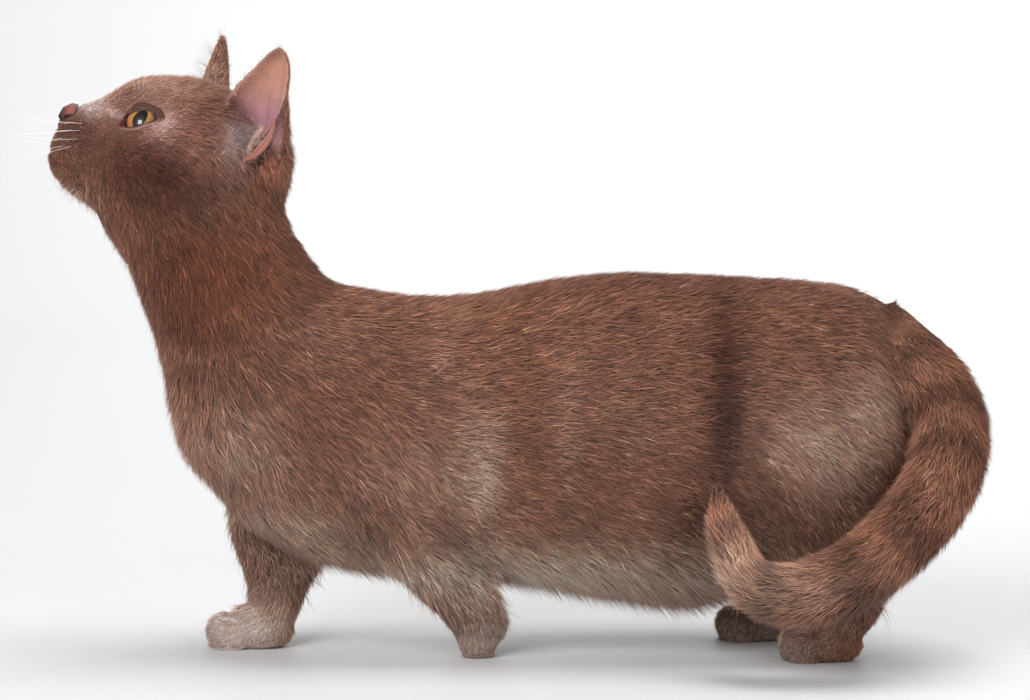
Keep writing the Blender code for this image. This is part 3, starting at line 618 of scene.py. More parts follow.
def paintCoat(points, region):
    place = bodyPlace(points)
    place[:, 1] = np.abs(place[:, 1])
    away = (points - headMiddle) / mm
    headPlace = np.stack((away @ headForward, np.abs(away @ headLeft), away @ headUp), axis=1)
    colour = np.tile(coatBase, (len(points), 1))
    for places, marks in ((place, markingsShadeAndLight + earMarkings), (headPlace, headMarkingsAndHighlight)):
        for _, spot, reach, mark, strength in marks:
            far = (((places - np.array(spot)) / np.array(reach)) ** 2).sum(axis=1)
            share = (strength * np.exp(-far))[:, None]
            colour = colour * (1 - share) + mark * share
    onTail = region == regionNames.index("tail")
    if onTail.any():
        _, which = nearestOn(tailPath, points[onTail])
        ring = 0.5 + 0.5 * np.sin(which * 0.40 + 1.3 * valueNoise(points[onTail], 20 * mm, 5))
        colour[onTail] *= (0.56 + 0.60 * ring)[:, None]
    onHead = region == regionNames.index("head")
    if onHead.any():
        for sign in (1, -1):
            path = smoothPath([headSpot(f, s * sign, u) for f, s, u in mouthLine], 40)
            gap, _ = nearestOn(path, points[onHead])
            colour[onHead] *= (1 - 0.62 * np.exp(-(gap / (1.2 * mm)) ** 2))[:, None]
    spots = np.array([np.linalg.norm(points - spot, axis=1) for spot in padSpots()]).min(axis=0)
    colour *= (1 - 0.62 * np.exp(-(spots / (0.75 * mm)) ** 2))[:, None]
    patchy = 1 + 0.09 * valueNoise(points, 16 * mm, 1) + 0.10 * valueNoise(points, 6 * mm, 2)
    return colour * patchy[:, None]


# Rows of whisker roots on the pads: forward and up, in the head's frame in mm
padRows = (((47.1, -15.4), (44.6, -13.9), (41.9, -12.8), (38.6, -12.2)),
           ((47.3, -18.8), (44.8, -17.2), (42.1, -16.1), (38.9, -15.3), (35.5, -14.8)),
           ((46.8, -21.8), (44.1, -20.7), (41.1, -19.6), (37.8, -18.7), (34.6, -18.0)),
           ((45.4, -24.9), (42.3, -23.7), (39.3, -22.8), (36.0, -22.0)))
skinTree = BVHTree.FromPolygons(*meshParts(skinMesh))
padCache = []


def padSpots():
    if not padCache:
        for sign in (1, -1):
            for row in padRows:
                for forward, up in row:
                    start = Vector(headSpot(forward, 45 * sign, up))
                    hit = skinTree.ray_cast(start, Vector(-headLeft * sign), 0.044)[0]
                    if hit is not None:
                        padCache.append(np.array(hit))
    return padCache


print("cat: skin ready, regions", np.bincount(skinRegion, minlength=len(regionNames)))


# Unwrap of the skin: each part of the body is rolled off round its own axis

atlas = {  # left, bottom, width, height
    "torso": (0.0, 0.0, 0.62, 0.5), "neck": (0.63, 0.0, 0.36, 0.24), "head": (0.63, 0.26, 0.36, 0.36),
    "ear": (0.63, 0.64, 0.36, 0.15), "foreleg": (0.0, 0.52, 0.3, 0.14), "hindleg": (0.31, 0.52, 0.3, 0.14),
    "forepaw": (0.0, 0.68, 0.3, 0.14), "hindpaw": (0.31, 0.68, 0.3, 0.14), "tail": (0.0, 0.84, 0.99, 0.15),
}


def rollOff(points, region):
    # angle as a share of a turn, and distance along, both 0 to 1, for each point
    place = np.zeros((len(points), 2))
    half = np.zeros(len(points))
    for index, name in enumerate(regionNames):
        mine = region == index
        if not mine.any():
            continue
        spot = points[mine]
        if name == "tail":
            _, which = nearestOn(tailPath, spot)
            out = spot - tailPath[which]
            heading = tailHeading[which]
            across = np.cross(heading, (0, 0.3, 1.0))
            across /= np.linalg.norm(across, axis=1)[:, None]
            third = np.cross(heading, across)
            along = which / len(tailPath)
            along = along + (out * heading).sum(axis=1) / 0.4
            angle = np.arctan2((out * across).sum(axis=1), (out * third).sum(axis=1))
        elif name in ("torso", "head"):
            axis = np.array((1.0, 0, 0)) if name == "torso" else headForward
            middle = bodySpot(0, 0, 95) if name == "torso" else headSpot(0, 0, -8)
            across = np.cross(axis, (0, 0, 1))
            across /= np.linalg.norm(across)
            third = np.cross(axis, across)
            out = spot - middle
            along = out @ axis
            angle = np.arctan2(out @ across, out @ third)
        else:
            sideSign = np.where(spot[:, 1] < midY, -1, 1)
            if name == "neck":
                sideSign[:] = 1
            along = spot[:, 2].copy()
            angle = np.zeros(len(spot))
            for sign in (-1, 1):
                these = sideSign == sign
                if these.any():
                    centre = spot[these].mean(axis=0)
                    out = spot[these] - centre
                    angle[these] = np.arctan2(out[:, 1], out[:, 0])
            half[mine] = (sideSign > 0) if name != "neck" else 0
        low, high = along.min(), along.max()
        place[mine, 0] = angle / math.tau + 0.5
        place[mine, 1] = (along - low) / max(high - low, 1e-9)
    return place, half


def onAtlas(place, half, region):
    uv = np.zeros_like(place)
    for index, name in enumerate(regionNames):
        left, bottom, width, height = atlas[name]
        mine = region == index
        paired = name in ("ear", "foreleg", "hindleg", "forepaw", "hindpaw")
        turn = place[mine, 0] * 0.94 + 0.03
        if paired:
            turn = turn / 2 + half[mine] / 2
        uv[mine, 0] = left + width * turn
        uv[mine, 1] = bottom + height * (0.02 + 0.96 * place[mine, 1])
    return uv


def unwrapSkin(mesh, region):
    place, half = rollOff(readPoints(mesh), region)
    triangles = readTriangles(mesh)
    corner = triangles.ravel()
    spread = place[corner].reshape(-1, 3, 2)
    owner = region[triangles[:, 0]]
    wraps = spread[:, :, 0].max(axis=1) - spread[:, :, 0].min(axis=1) > 0.5
    lift = wraps[:, None] & (spread[:, :, 0] < 0.5)
    spread[:, :, 0] += np.where(lift, 1.0, 0)
    spread[:, :, 0] = np.minimum(spread[:, :, 0], 1.03)
    uv = onAtlas(spread.reshape(-1, 2), half[corner], np.repeat(owner, 3))
    layer = mesh.uv_layers.new(name="OFBake")
    loops = np.empty(len(mesh.loops), np.int32)
    mesh.loops.foreach_get("vertex_index", loops)
    # the skin is all triangles, so its loops run in the same order
    flat = np.zeros((len(loops), 2), np.float32)
    flat[:] = uv[: len(loops)]
    layer.data.foreach_set("uv", flat.ravel())


# Skin gives way to the coat's depth
skinPoints = readPoints(skinMesh)
skinLinks = neighbours(skinMesh)
coatDepth = np.array([coatLook[n][0] for n in regionNames])[skinRegion] * mm
coatDepth = soften(coatDepth, 24, skinLinks)
muzzleAway = np.linalg.norm(skinPoints - headSpot(50, 0, -14), axis=1)
coatDepth *= 0.25 + 0.75 * smoothStep(muzzleAway, 6 * mm, 40 * mm)
soleFade = smoothStep(skinPoints[:, 2], 0.5 * mm, 6 * mm)
coatDepth *= np.where(readNormals(skinMesh)[:, 2] < -0.6, soleFade, 1)
outerNormals = readNormals(skinMesh)
eyeFrames = {side: EyeFrame(side) for side in ("left", "right")}
for eye in eyeFrames.values():
    offset, reach, turn = eye.fromMargin(skinPoints)
    near = eye.inFront(skinPoints, reach)
    coatDepth[near] *= smoothStep(offset, 0.0, 9.0)[near]
skinPoints = skinPoints - outerNormals * coatDepth[:, None]
for eye in eyeFrames.values():
    offset, reach, turn = eye.fromMargin(skinPoints)
    edge = lidReach(turn)
    near = eye.inFront(skinPoints, reach) & (offset < edge)
    lid = lidRadius(turn, np.maximum(offset, 0), reach) - 0.6
    cap = np.where(offset < 0, eyeRadius - 1.3, np.minimum(lid, eyeRadius - 1.3 + offset * 3))
    ease = smoothStep(offset, edge * 0.65, edge)
    wanted = np.minimum(reach, cap) * (1 - ease) + reach * ease
    way = (skinPoints - eye.middle) / np.maximum(reach, 1e-6)[:, None]
    skinPoints[near] = (eye.middle + way * wanted[:, None])[near]


def crease(points, path, width, depth):
    away, _ = nearestOn(path, points)
    return points - outerNormals * (np.exp(-(away / (width * mm)) ** 2) * depth * mm)[:, None]


skinFolds = []
for sign in (1, -1):
    skinFolds.append((smoothPath([headSpot(f, s * sign, u) for f, s, u in mouthLine], 60), 1.5, 1.5))
    skinFolds.append((smoothPath([bodySpot(-101, -29 * sign, 193.5), bodySpot(-104.5, -31.5 * sign, 187),
                                  bodySpot(-110, -32.5 * sign, 179)], 40), 2.6, 1.6))
    skinFolds.append((smoothPath([bodySpot(x, y * sign, z) for x, y, z in (
        (-168, -16, 144), (-150, -33, 146), (-131, -38, 139), (-112, -40, 131))], 50), 3.0, 1.1))
    skinFolds.append((smoothPath([bodySpot(x, y * sign, z) for x, y, z in (
        (-160, -14, 130), (-147, -30, 128), (-134, -37, 121))], 40), 3.0, 0.9))
skinFolds.append((smoothPath([headSpot(*p) for p in philtrum], 30), 1.1, 0.9))
for path, width, depth in skinFolds:
    skinPoints = crease(skinPoints, path, width, depth)
skinPoints[:, 2] = np.maximum(skinPoints[:, 2], 0)
writePoints(skinMesh, skinPoints)
skinNormals = readNormals(skinMesh)


# Ear skin shows inside the cups
earOpening = {"ear_left": np.array((-0.35, -0.92, 0.12)), "ear_right": np.array((-0.96, 0.25, 0.1))}
insideEar = np.zeros(len(skinPoints))
for name, opening in earOpening.items():
    inBox, _, _ = withinBox(name, skinPoints, 1 * mm)
    inBox &= skinRegion == regionNames.index("ear")
    facing = skinNormals @ (opening / np.linalg.norm(opening))
    insideEar[inBox] = smoothStep(facing[inBox], 0.05, 0.45)
# the near ear's lower front corner is furred, and so is the foot of the other one
earPlace = bodyPlace(skinPoints)
onNear = earPlace[:, 1] < 0
line = 0.774 * (earPlace[:, 0] + 121.0) + 0.632 * (earPlace[:, 2] - 238.0)
insideEar *= np.where(onNear, smoothStep(line, -2.5, 3.5), smoothStep(earPlace[:, 2], 236, 243))
insideEar = soften(insideEar, 3, skinLinks)


def paintEar(points):
    # skin inside the cups: warm at the top, lilac in the middle, and darkened at the bottom with painted shade
    # deep in the cup
    low, high = 212.0, 262.0
    height = (points[:, 2] / mm - low) / (high - low)
    warm, lilac, cupShade = tone(180, 132, 115), tone(160, 114, 126), tone(104, 64, 62)
    share = np.exp(-((height - 0.34) / 0.2) ** 2)[:, None]
    colour = warm * (1 - share) + lilac * share
    foot = (1 - smoothStep(height, 0.02, 0.2))[:, None]
    colour = colour * (1 - foot) + cupShade * foot
    tip = smoothStep(height, 0.78, 1.0)[:, None] * 0.5
    colour = colour * (1 - tip) + tone(128, 92, 78) * tip
    patchy = 1 + 0.10 * valueNoise(points, 5 * mm, 21) + 0.05 * valueNoise(points, 1.6 * mm, 22)
    return colour * patchy[:, None]


def colourLayer(mesh, name, colours):
    layer = mesh.attributes.new(name, "FLOAT_COLOR", "POINT")
    full = np.ones((len(colours), 4), np.float32)
    full[:, :3] = np.clip(colours, 0, 1)
    layer.data.foreach_set("color", full.ravel())


skinColour = paintCoat(skinPoints, skinRegion) * 0.55
pink = insideEar[:, None]
skinColour = skinColour * (1 - pink) + paintEar(skinPoints) * pink
colourLayer(skinMesh, "coatColour", skinColour)
unwrapSkin(skinMesh, skinRegion)
print("cat: skin painted and unwrapped")


# Materials

def nodesOf(material):
    material.use_nodes = True
    tree = material.node_tree
    tree.nodes.clear()
    output = tree.nodes.new("ShaderNodeOutputMaterial")
    shader = tree.nodes.new("ShaderNodeBsdfPrincipled")
    tree.links.new(shader.outputs[0], output.inputs[0])
    return tree, shader


def grainGroup():
    # fine breaks in colour and height that fur, skin and nose share
    group = bpy.data.node_groups.new("fineGrain", "ShaderNodeTree")
    for name, kind, value in (("Colour", "NodeSocketColor", None), ("Scale", "NodeSocketFloat", 900.0),
                              ("Contrast", "NodeSocketFloat", 0.3)):
        socket = group.interface.new_socket(name=name, in_out="INPUT", socket_type=kind)
        if value is not None:
            socket.default_value = value
    group.interface.new_socket(name="Colour", in_out="OUTPUT", socket_type="NodeSocketColor")
    group.interface.new_socket(name="Height", in_out="OUTPUT", socket_type="NodeSocketFloat")
    nodes, links = group.nodes, group.links
    start, end = nodes.new("NodeGroupInput"), nodes.new("NodeGroupOutput")
    where = nodes.new("ShaderNodeTexCoord")
    noise = nodes.new("ShaderNodeTexNoise")
    noise.inputs["Detail"].default_value = 3.0
    links.new(where.outputs["Object"], noise.inputs["Vector"])
    links.new(start.outputs["Scale"], noise.inputs["Scale"])
    centred = nodes.new("ShaderNodeMath")
    centred.operation = "SUBTRACT"
    centred.inputs[1].default_value = 0.5
    links.new(noise.outputs["Fac"], centred.inputs[0])
    swing = nodes.new("ShaderNodeMath")
    swing.operation = "MULTIPLY"
    links.new(centred.outputs[0], swing.inputs[0])
    links.new(start.outputs["Contrast"], swing.inputs[1])
    factor = nodes.new("ShaderNodeMath")
    factor.operation = "ADD"
    factor.inputs[1].default_value = 1.0
    links.new(swing.outputs[0], factor.inputs[0])
    scaled = nodes.new("ShaderNodeVectorMath")
    scaled.operation = "SCALE"
    links.new(start.outputs["Colour"], scaled.inputs[0])
    links.new(factor.outputs[0], scaled.inputs["Scale"])
    links.new(scaled.outputs[0], end.inputs["Colour"])
    links.new(noise.outputs["Fac"], end.inputs["Height"])
    return group


fineGrain = grainGroup()


def grainMaterial(name, colour, roughness, scale, contrast, bump, strength=1.0, **inputs):
    # colour is an attribute's name or a plain tone, broken up by the shared grain
    material = bpy.data.materials.new(name)
    tree, shader = nodesOf(material)
    grain = tree.nodes.new("ShaderNodeGroup")
    grain.node_tree = fineGrain
    grain.inputs["Scale"].default_value = scale
    grain.inputs["Contrast"].default_value = contrast
    if isinstance(colour, str):
        painted = tree.nodes.new("ShaderNodeAttribute")
        painted.attribute_name = colour
        tree.links.new(painted.outputs["Color"], grain.inputs["Colour"])
    else:
        grain.inputs["Colour"].default_value = (*colour, 1)
    tree.links.new(grain.outputs["Colour"], shader.inputs["Base Color"])
    if bump:
        relief = tree.nodes.new("ShaderNodeBump")
        relief.inputs["Distance"].default_value = bump
        relief.inputs["Strength"].default_value = strength
        tree.links.new(grain.outputs["Height"], relief.inputs["Height"])
        tree.links.new(relief.outputs["Normal"], shader.inputs["Normal"])
    shader.inputs["Roughness"].default_value = roughness
    for label, value in inputs.items():
        shader.inputs[shaderInputs[label]].default_value = value
    return material


shaderInputs = {"sheen": "Sheen Weight", "specular": "Specular IOR Level", "coat": "Coat Weight",
                "coatRoughness": "Coat Roughness"}
skinMaterial = grainMaterial("undercoat", "coatColour", 0.9, 1400.0, 0.5, 0.0004, 0.5, specular=0.3)
coatMaterial = grainMaterial("shortCoat", "coatColour", 0.62, 700.0, 0.35, 0.0001, 0.5,
                             specular=0.3, sheen=0.12)
addPiece("skin", skinMesh, skinMaterial, "coat", *fleshNodes)


# The coat

def skinFaces():
    # points, normals, triangles, and each triangle's area and middle
    points = readPoints(skinMesh)
    triangles = readTriangles(skinMesh)
    a, b, c = (points[triangles[:, i]] for i in range(3))
    area = np.linalg.norm(np.cross(b - a, c - a), axis=1) / 2
    return points, readNormals(skinMesh), triangles, area, (a + b + c) / 3


def pickRoots(perTriangle, rng):
    # tuft roots spread over triangles, with their corner weights
    count = rng.poisson(perTriangle)
    owner = np.repeat(np.arange(len(count)), count)
    a, b = rng.random(len(owner)), rng.random(len(owner))
    flip = a + b > 1
    a[flip], b[flip] = 1 - a[flip], 1 - b[flip]
    return owner, np.stack((1 - a - b, a, b), axis=1)


def growTufts(roots, normals, way, length, lift, width, colour, rng, bend=None, swirl=0.3):
    # three-sided tapering tufts, in one length, or in two where bend says how far the tip drops
    count = len(roots)
    turn = rng.normal(0, 0.2, count)
    turn = turn + swirl * valueNoise(roots, 5 * mm, 7) + 0.5 * swirl * valueNoise(roots, 2 * mm, 8)
    across = np.cross(way, normals)
    lie = way * np.cos(turn)[:, None] + across * np.sin(turn)[:, None]
    across = np.cross(lie, normals)
    rise = lift * rng.uniform(0.4, 1.7, count)
    aim = lie * np.cos(rise)[:, None] + normals * np.sin(rise)[:, None]
    size = (length * rng.uniform(0.6, 1.3, count))[:, None]
    half = (width / 2 * rng.uniform(0.7, 1.3, count))[:, None]
    foot = roots - normals * (0.3 * mm)
    tip = roots + aim * size
    ring = (across, -across, normals * 1.1 + 0.2 * lie)
    corners = [foot + side * half for side in ring]
    if bend is not None:
        drop = bend[:, None] * size * np.array((0, 0, 1))
        middle = roots + aim * size * 0.5 - drop * 0.25
        corners += [middle + side * half * 0.7 for side in ring]
        tip = tip - drop
    tip[:, 2] = np.maximum(tip[:, 2], 0.1 * mm)
    corners = np.stack(corners + [tip], axis=1)
    corners[:, :, 2] += np.maximum(0.05 * mm - corners[:, :, 2].min(axis=1), 0)[:, None]
    shade = np.exp(rng.normal(0, coatTone["spread"], count))
    shade *= 1 + coatTone["clump"] * valueNoise(roots, 2.6 * mm, 9)
    own = colour * coatTone["gain"] * shade[:, None]
    pale = (rng.random(count) < coatTone["paleShare"])[:, None]
    end = own * coatTone["tip"]
    end = np.where(pale, colour * coatTone["gain"] * coatTone["pale"], end)
    root = own * coatTone["root"]
    rings = [root, root, root * 1.1]
    if bend is not None:
        rings += [own * 0.95] * 3
    colours = np.stack(rings + [end], axis=1)
    return corners, colours


# how the tufts differ: spread of shade, share of pale ones, shade at root and tip
coatTone = {"gain": np.array((1.62, 1.44, 1.32)), "spread": 0.46, "clump": 0.32, "paleShare": 0.14,
            "pale": np.array((1.75, 2.0, 2.2)), "root": 0.42, "tip": 1.45}
tuftShapes = {  # corners of one tuft, its faces, and the corners' places on its patch of the map
    4: (((0, 1, 2), (1, 0, 3), (0, 2, 3), (2, 1, 3)),
        ((-0.0015, -0.0015), (0.0015, -0.0015), (0.0, -0.0005), (0.0, 0.0015))),
    7: (((0, 1, 2), (1, 0, 3), (1, 3, 4), (0, 2, 5), (0, 5, 3),
         (2, 1, 4), (2, 4, 5), (4, 3, 6), (3, 5, 6), (5, 4, 6)),
        ((-0.0015, -0.0015), (0.0015, -0.0015), (0.0, -0.001),
         (-0.001, 0.0), (0.001, 0.0), (0.0, 0.0003), (0.0, 0.0015))),
}


def tuftMesh(name, corners, colours, uv):
    count, kind = corners.shape[:2]
    shape, patch = (np.array(part) for part in tuftShapes[kind])
    mesh = bpy.data.meshes.new(name)
    mesh.vertices.add(count * kind)
    mesh.vertices.foreach_set("co", corners.astype(np.float32).ravel())
    faces = ((np.arange(count) * kind)[:, None] + shape.ravel()[None]).ravel()
    mesh.loops.add(len(faces))
    mesh.loops.foreach_set("vertex_index", faces.astype(np.int32))
    mesh.polygons.add(len(faces) // 3)
    mesh.polygons.foreach_set("loop_start", np.arange(0, len(faces), 3, dtype=np.int32))
    mesh.polygons.foreach_set("use_smooth", np.ones(len(faces) // 3, bool))
    mesh.update(calc_edges=True)
    colourLayer(mesh, "coatColour", colours.reshape(-1, 3))
    spots = (uv[:, None, :] + patch[None]).reshape(-1, 2)
    layer = mesh.uv_layers.new(name="OFBake")
    layer.data.foreach_set("uv", spots[faces].astype(np.float32).ravel())
    return mesh


tuftCounts = {"torso": 158000, "neck": 35000, "head": 58000, "ear": 11000, "foreleg": 11000,
              "hindleg": 8500, "forepaw": 11000, "hindpaw": 11500, "tail": 35000}


def spread(triangles, points, normals, density, count, rng):
    # roots, their normals and the skin corner nearest to each
    share = density / density.sum() * count
    which, weight = pickRoots(share, rng)
    corner = triangles[which]
    roots = (points[corner] * weight[:, :, None]).sum(axis=1)
    up = (normals[corner] * weight[:, :, None]).sum(axis=1)
    return roots, up / np.linalg.norm(up, axis=1)[:, None], corner[:, 0]


def growCoat():
    rng = np.random.default_rng(14)
    points, normals, triangles, density, centre = skinFaces()
    owner = skinRegion[triangles[:, 0]]
    sole = (centre[:, 2] < 1.2 * mm) & (normals[triangles[:, 0], 2] < -0.7)
    density[sole] = 0
    for eye in eyeFrames.values():
        offset, reach, turn = eye.fromMargin(centre)
        near = eye.inFront(centre, reach)
        bare = 0.4 + lidReach(turn) * 0.7  # more bare skin above the eye
        density[near] *= smoothStep(offset - bare, -0.8, 1.2)[near]
    noseTree = BVHTree.FromPolygons(*meshParts(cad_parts["nose"].data))
    for i in np.where((centre - headMiddle) @ headForward > 40 * mm)[0]:
        if noseTree.find_nearest(Vector(centre[i]), 1.2 * mm)[0] is not None:
            density[i] = 0
    density *= 1 - 0.94 * insideEar[triangles[:, 0]]
    muzzle = np.linalg.norm(centre - headSpot(44, 0, -18), axis=1)
    onHead = owner == regionNames.index("head")
    density *= np.where(onHead, 1 + 1.4 * (1 - smoothStep(muzzle, 10 * mm, 40 * mm)), 1)
    pieces = {}
    for index, name in enumerate(regionNames):
        mine = np.where(owner == index, density, 0)
        roots, up, nearest = spread(triangles, points, normals, mine, tuftCounts[name], rng)
        region = np.full(len(roots), index)
        way = layHair(roots, up, region)
        _, length, lift, width = coatLook[name]
        length = np.full(len(roots), length * mm)
        lift = np.full(len(roots), math.radians(lift))
        width = np.full(len(roots), width * mm)
        if name == "head":
            close = smoothStep(np.linalg.norm(roots - headSpot(46, 0, -16), axis=1), 6 * mm, 62 * mm)
            length *= 0.42 + 0.9 * close
            width *= 0.75 + 0.3 * close
            for eye in eyeFrames.values():
                far = smoothStep(np.linalg.norm(roots - eye.middle, axis=1), 12 * mm, 22 * mm)
                length *= 0.42 + 0.58 * far
        if name == "torso":
            low = 1 - smoothStep(roots[:, 2], 26 * mm, 60 * mm)
            under = low * smoothStep(-up[:, 2], -0.2, 0.6)
            length *= 1 + 0.7 * under
            lift *= 1 + 1.4 * under
            front = 1 - smoothStep(roots[:, 0], -150 * mm, -110 * mm)
            length *= 1 + 0.15 * front
            lift *= 1 + 0.5 * front
        if name in ("forepaw", "hindpaw"):
            length *= 0.7 + 0.3 * smoothStep(roots[:, 2], 4 * mm, 14 * mm)
        if name in ("torso", "tail"):
            # hair lies closer where the tail leaves the rump
            root = smoothStep(np.linalg.norm(roots - bodySpot(160, -5, 146), axis=1), 12 * mm, 34 * mm)
            lift *= 0.2 + 0.8 * root
            length *= 0.4 + 0.6 * root
        if name == "tail":
            end = smoothStep(np.linalg.norm(roots - tailPath[-1], axis=1), 4 * mm, 30 * mm)
            length *= 0.45 + 0.55 * end
        colour = paintCoat(roots, region)
        shown = insideEar[nearest][:, None] * 0.6
        colour = colour * (1 - shown) + tone(160, 122, 112) * shown
        corners, colours = growTufts(roots, up, way, length, lift, width, colour, rng)
        place, half = rollOff(roots, region)
        pieces[name] = [corners, colours, onAtlas(place, half, region)]
        print("cat: coat on", name, len(roots), "tufts")
    return pieces


# Longer hair that hangs or stands out: place and reach in mm, count, length, width, lift, way, drop, paleness
fringeLook = (
    ("belly", (20, 22, 34), (95, 40, 11), 4000, 8.5, 0.36, 26, (0.8, 0, -0.6), 0.25, 0.22),
    ("brisket", (-85, 14, 44), (34, 30, 12), 1100, 5.5, 0.34, 24, (0.7, 0, -0.7), 0.2, 0.16),
    ("chest", (-152, 6, 108), (16, 30, 34), 1300, 6.5, 0.34, 24, (0.1, 0, -1), 0.2, 0.08),
    ("chin", (-184, 10, 200), (18, 18, 6), 900, 4.2, 0.24, 38, (0.3, 0, -0.9), 0.1, 0.25),
    ("throat", (-163, 8, 176), (12, 20, 22), 700, 6.0, 0.32, 30, (0.1, 0, -1), 0.15, 0.08),
    ("nape", (-99, 14, 190), (10, 30, 30), 1000, 5.0, 0.30, 30, (0.4, 0, -0.9), 0.1, 0.12),
    ("jowl edge", (-112, 36, 190), (12, 20, 12), 500, 5.0, 0.30, 22, (0.5, 0, -0.8), 0.1, 0.14),
    ("ear root", (-117, -46, 222), (7, 12, 7), 1300, 4.2, 0.20, 24, (0.55, 0, 0.6), 0.0, 0.45),
    ("elbow", (-12, 34, 40), (7, 24, 18), 300, 4.0, 0.30, 20, (0.4, 0, -0.9), 0.1, 0.15),
    ("tail edge", (176, -30, 92), (26, 40, 40), 1000, 6.0, 0.32, 22, None, 0.1, 0.15),
    ("thigh back", (163, 20, 90), (9, 30, 26), 450, 6.0, 0.32, 22, (0.3, 0, -1), 0.1, 0.15),
    ("crown", (-135, 12, 250), (28, 26, 7), 900, 3.4, 0.22, 28, None, 0.0, 0.30),
    ("back line", (30, 0, 162), (130, 22, 10), 1500, 5.5, 0.32, 20, (1, 0, 0), 0.0, 0.20),
    ("bridge", (-178, 4, 240), (14, 12, 5), 400, 2.2, 0.2, 30, None, 0.0, 0.5),
)


def growFringe():
    rng = np.random.default_rng(31)
    points, normals, triangles, area, centre = skinFaces()
    place = bodyPlace(centre)
    corners, colours, uvs = [], [], []
    for name, spot, reach, count, length, width, lift, aim, drop, pale in fringeLook:
        spots = [np.array(spot, float)]
        if name not in ("tail edge", "ear root"):
            spots.append(spots[0] * (1, -1, 1))
        density = np.zeros(len(area))
        for middle in spots:
            density += area * np.exp(-(((place - middle) / np.array(reach)) ** 2).sum(axis=1))
        for eye in eyeFrames.values():
            density[np.linalg.norm(centre - eye.middle, axis=1) < 17 * mm] = 0
        density[insideEar[triangles[:, 0]] > 0.6] = 0
        roots, up, nearest = spread(triangles, points, normals, density, count, rng)
        region = skinRegion[nearest]
        if aim is None:
            way = np.zeros_like(roots)
            for kind in np.unique(region):
                these = region == kind
                way[these] = layHair(roots[these], up[these], region[these])
        else:
            way = np.tile(np.array(aim, float), (len(roots), 1))
            way -= up * (way * up).sum(axis=1)[:, None]
            way /= np.maximum(np.linalg.norm(way, axis=1), 1e-9)[:, None]
        colour = paintCoat(roots, region)
        colour = colour * (1 - pale) + tone(180, 156, 146) * pale
        size = np.full(len(roots), length * mm)
        tufts, shades = growTufts(roots, up, way, size, np.full(len(roots), math.radians(lift)),
                                  np.full(len(roots), width * mm), colour, rng, np.full(len(roots), drop))
        spot2, half = rollOff(roots, region)
        corners.append(tufts)
        colours.append(shades)
        uvs.append(onAtlas(spot2, half, region))
    return [np.concatenate(part) for part in (corners, colours, uvs)]


def fitMap(uv):
    # each piece spreads over its own map
    low, high = uv.min(axis=0), uv.max(axis=0)
    return 0.005 + 0.99 * (uv - low) / (high - low)


def coatPieces(pieces, most=49000):
    # sets of parts that share a mesh, each small enough for one piece
    sets = {"coatHead": ("head",), "coatNeckEars": ("neck", "ear"), "coatTail": ("tail",),
            "coatLegs": ("foreleg", "hindleg", "forepaw", "hindpaw")}
    ready = {name: [np.concatenate([pieces[p][i] for p in parts]) for i in range(3)]
             for name, parts in sets.items()}
    torso = pieces["torso"]
    order = np.argsort(torso[0][:, 0, 0])
    for number, chosen in enumerate(np.array_split(order, 4)):
        ready["coatTrunk%d" % (number + 1)] = [part[chosen] for part in torso]
    for name, (corners, colours, uv) in ready.items():
        parts = math.ceil(len(corners) / most)
        for number, chosen in enumerate(np.array_split(np.arange(len(corners)), parts)):
            label = name if parts == 1 else name + "ab"[number]
            mesh = tuftMesh(label, corners[chosen], colours[chosen], fitMap(uv[chosen]))
            addPiece(label, mesh, coatMaterial, "coat")


coatPieces(growCoat())
fringe = growFringe()
addPiece("coatFringe", tuftMesh("coatFringe", fringe[0], fringe[1], fitMap(fringe[2])), coatMaterial, "coat")
print("cat: fringe of", len(fringe[0]), "locks")


# Eyes

irisLook = {
    "gaze": (58.0, 1.5),  # degrees outwards and up
    "radius": 8.45, "pupilWide": 2.8, "pupilHigh": 4.4, "pupilTilt": 13.0,  # mm and degrees
    "amber": tone(178, 112, 54), "olive": tone(124, 92, 46), "inner": tone(166, 120, 62),
    "edge": tone(74, 38, 16), "white": tone(196, 170, 152), "bulge": 0.055,
}


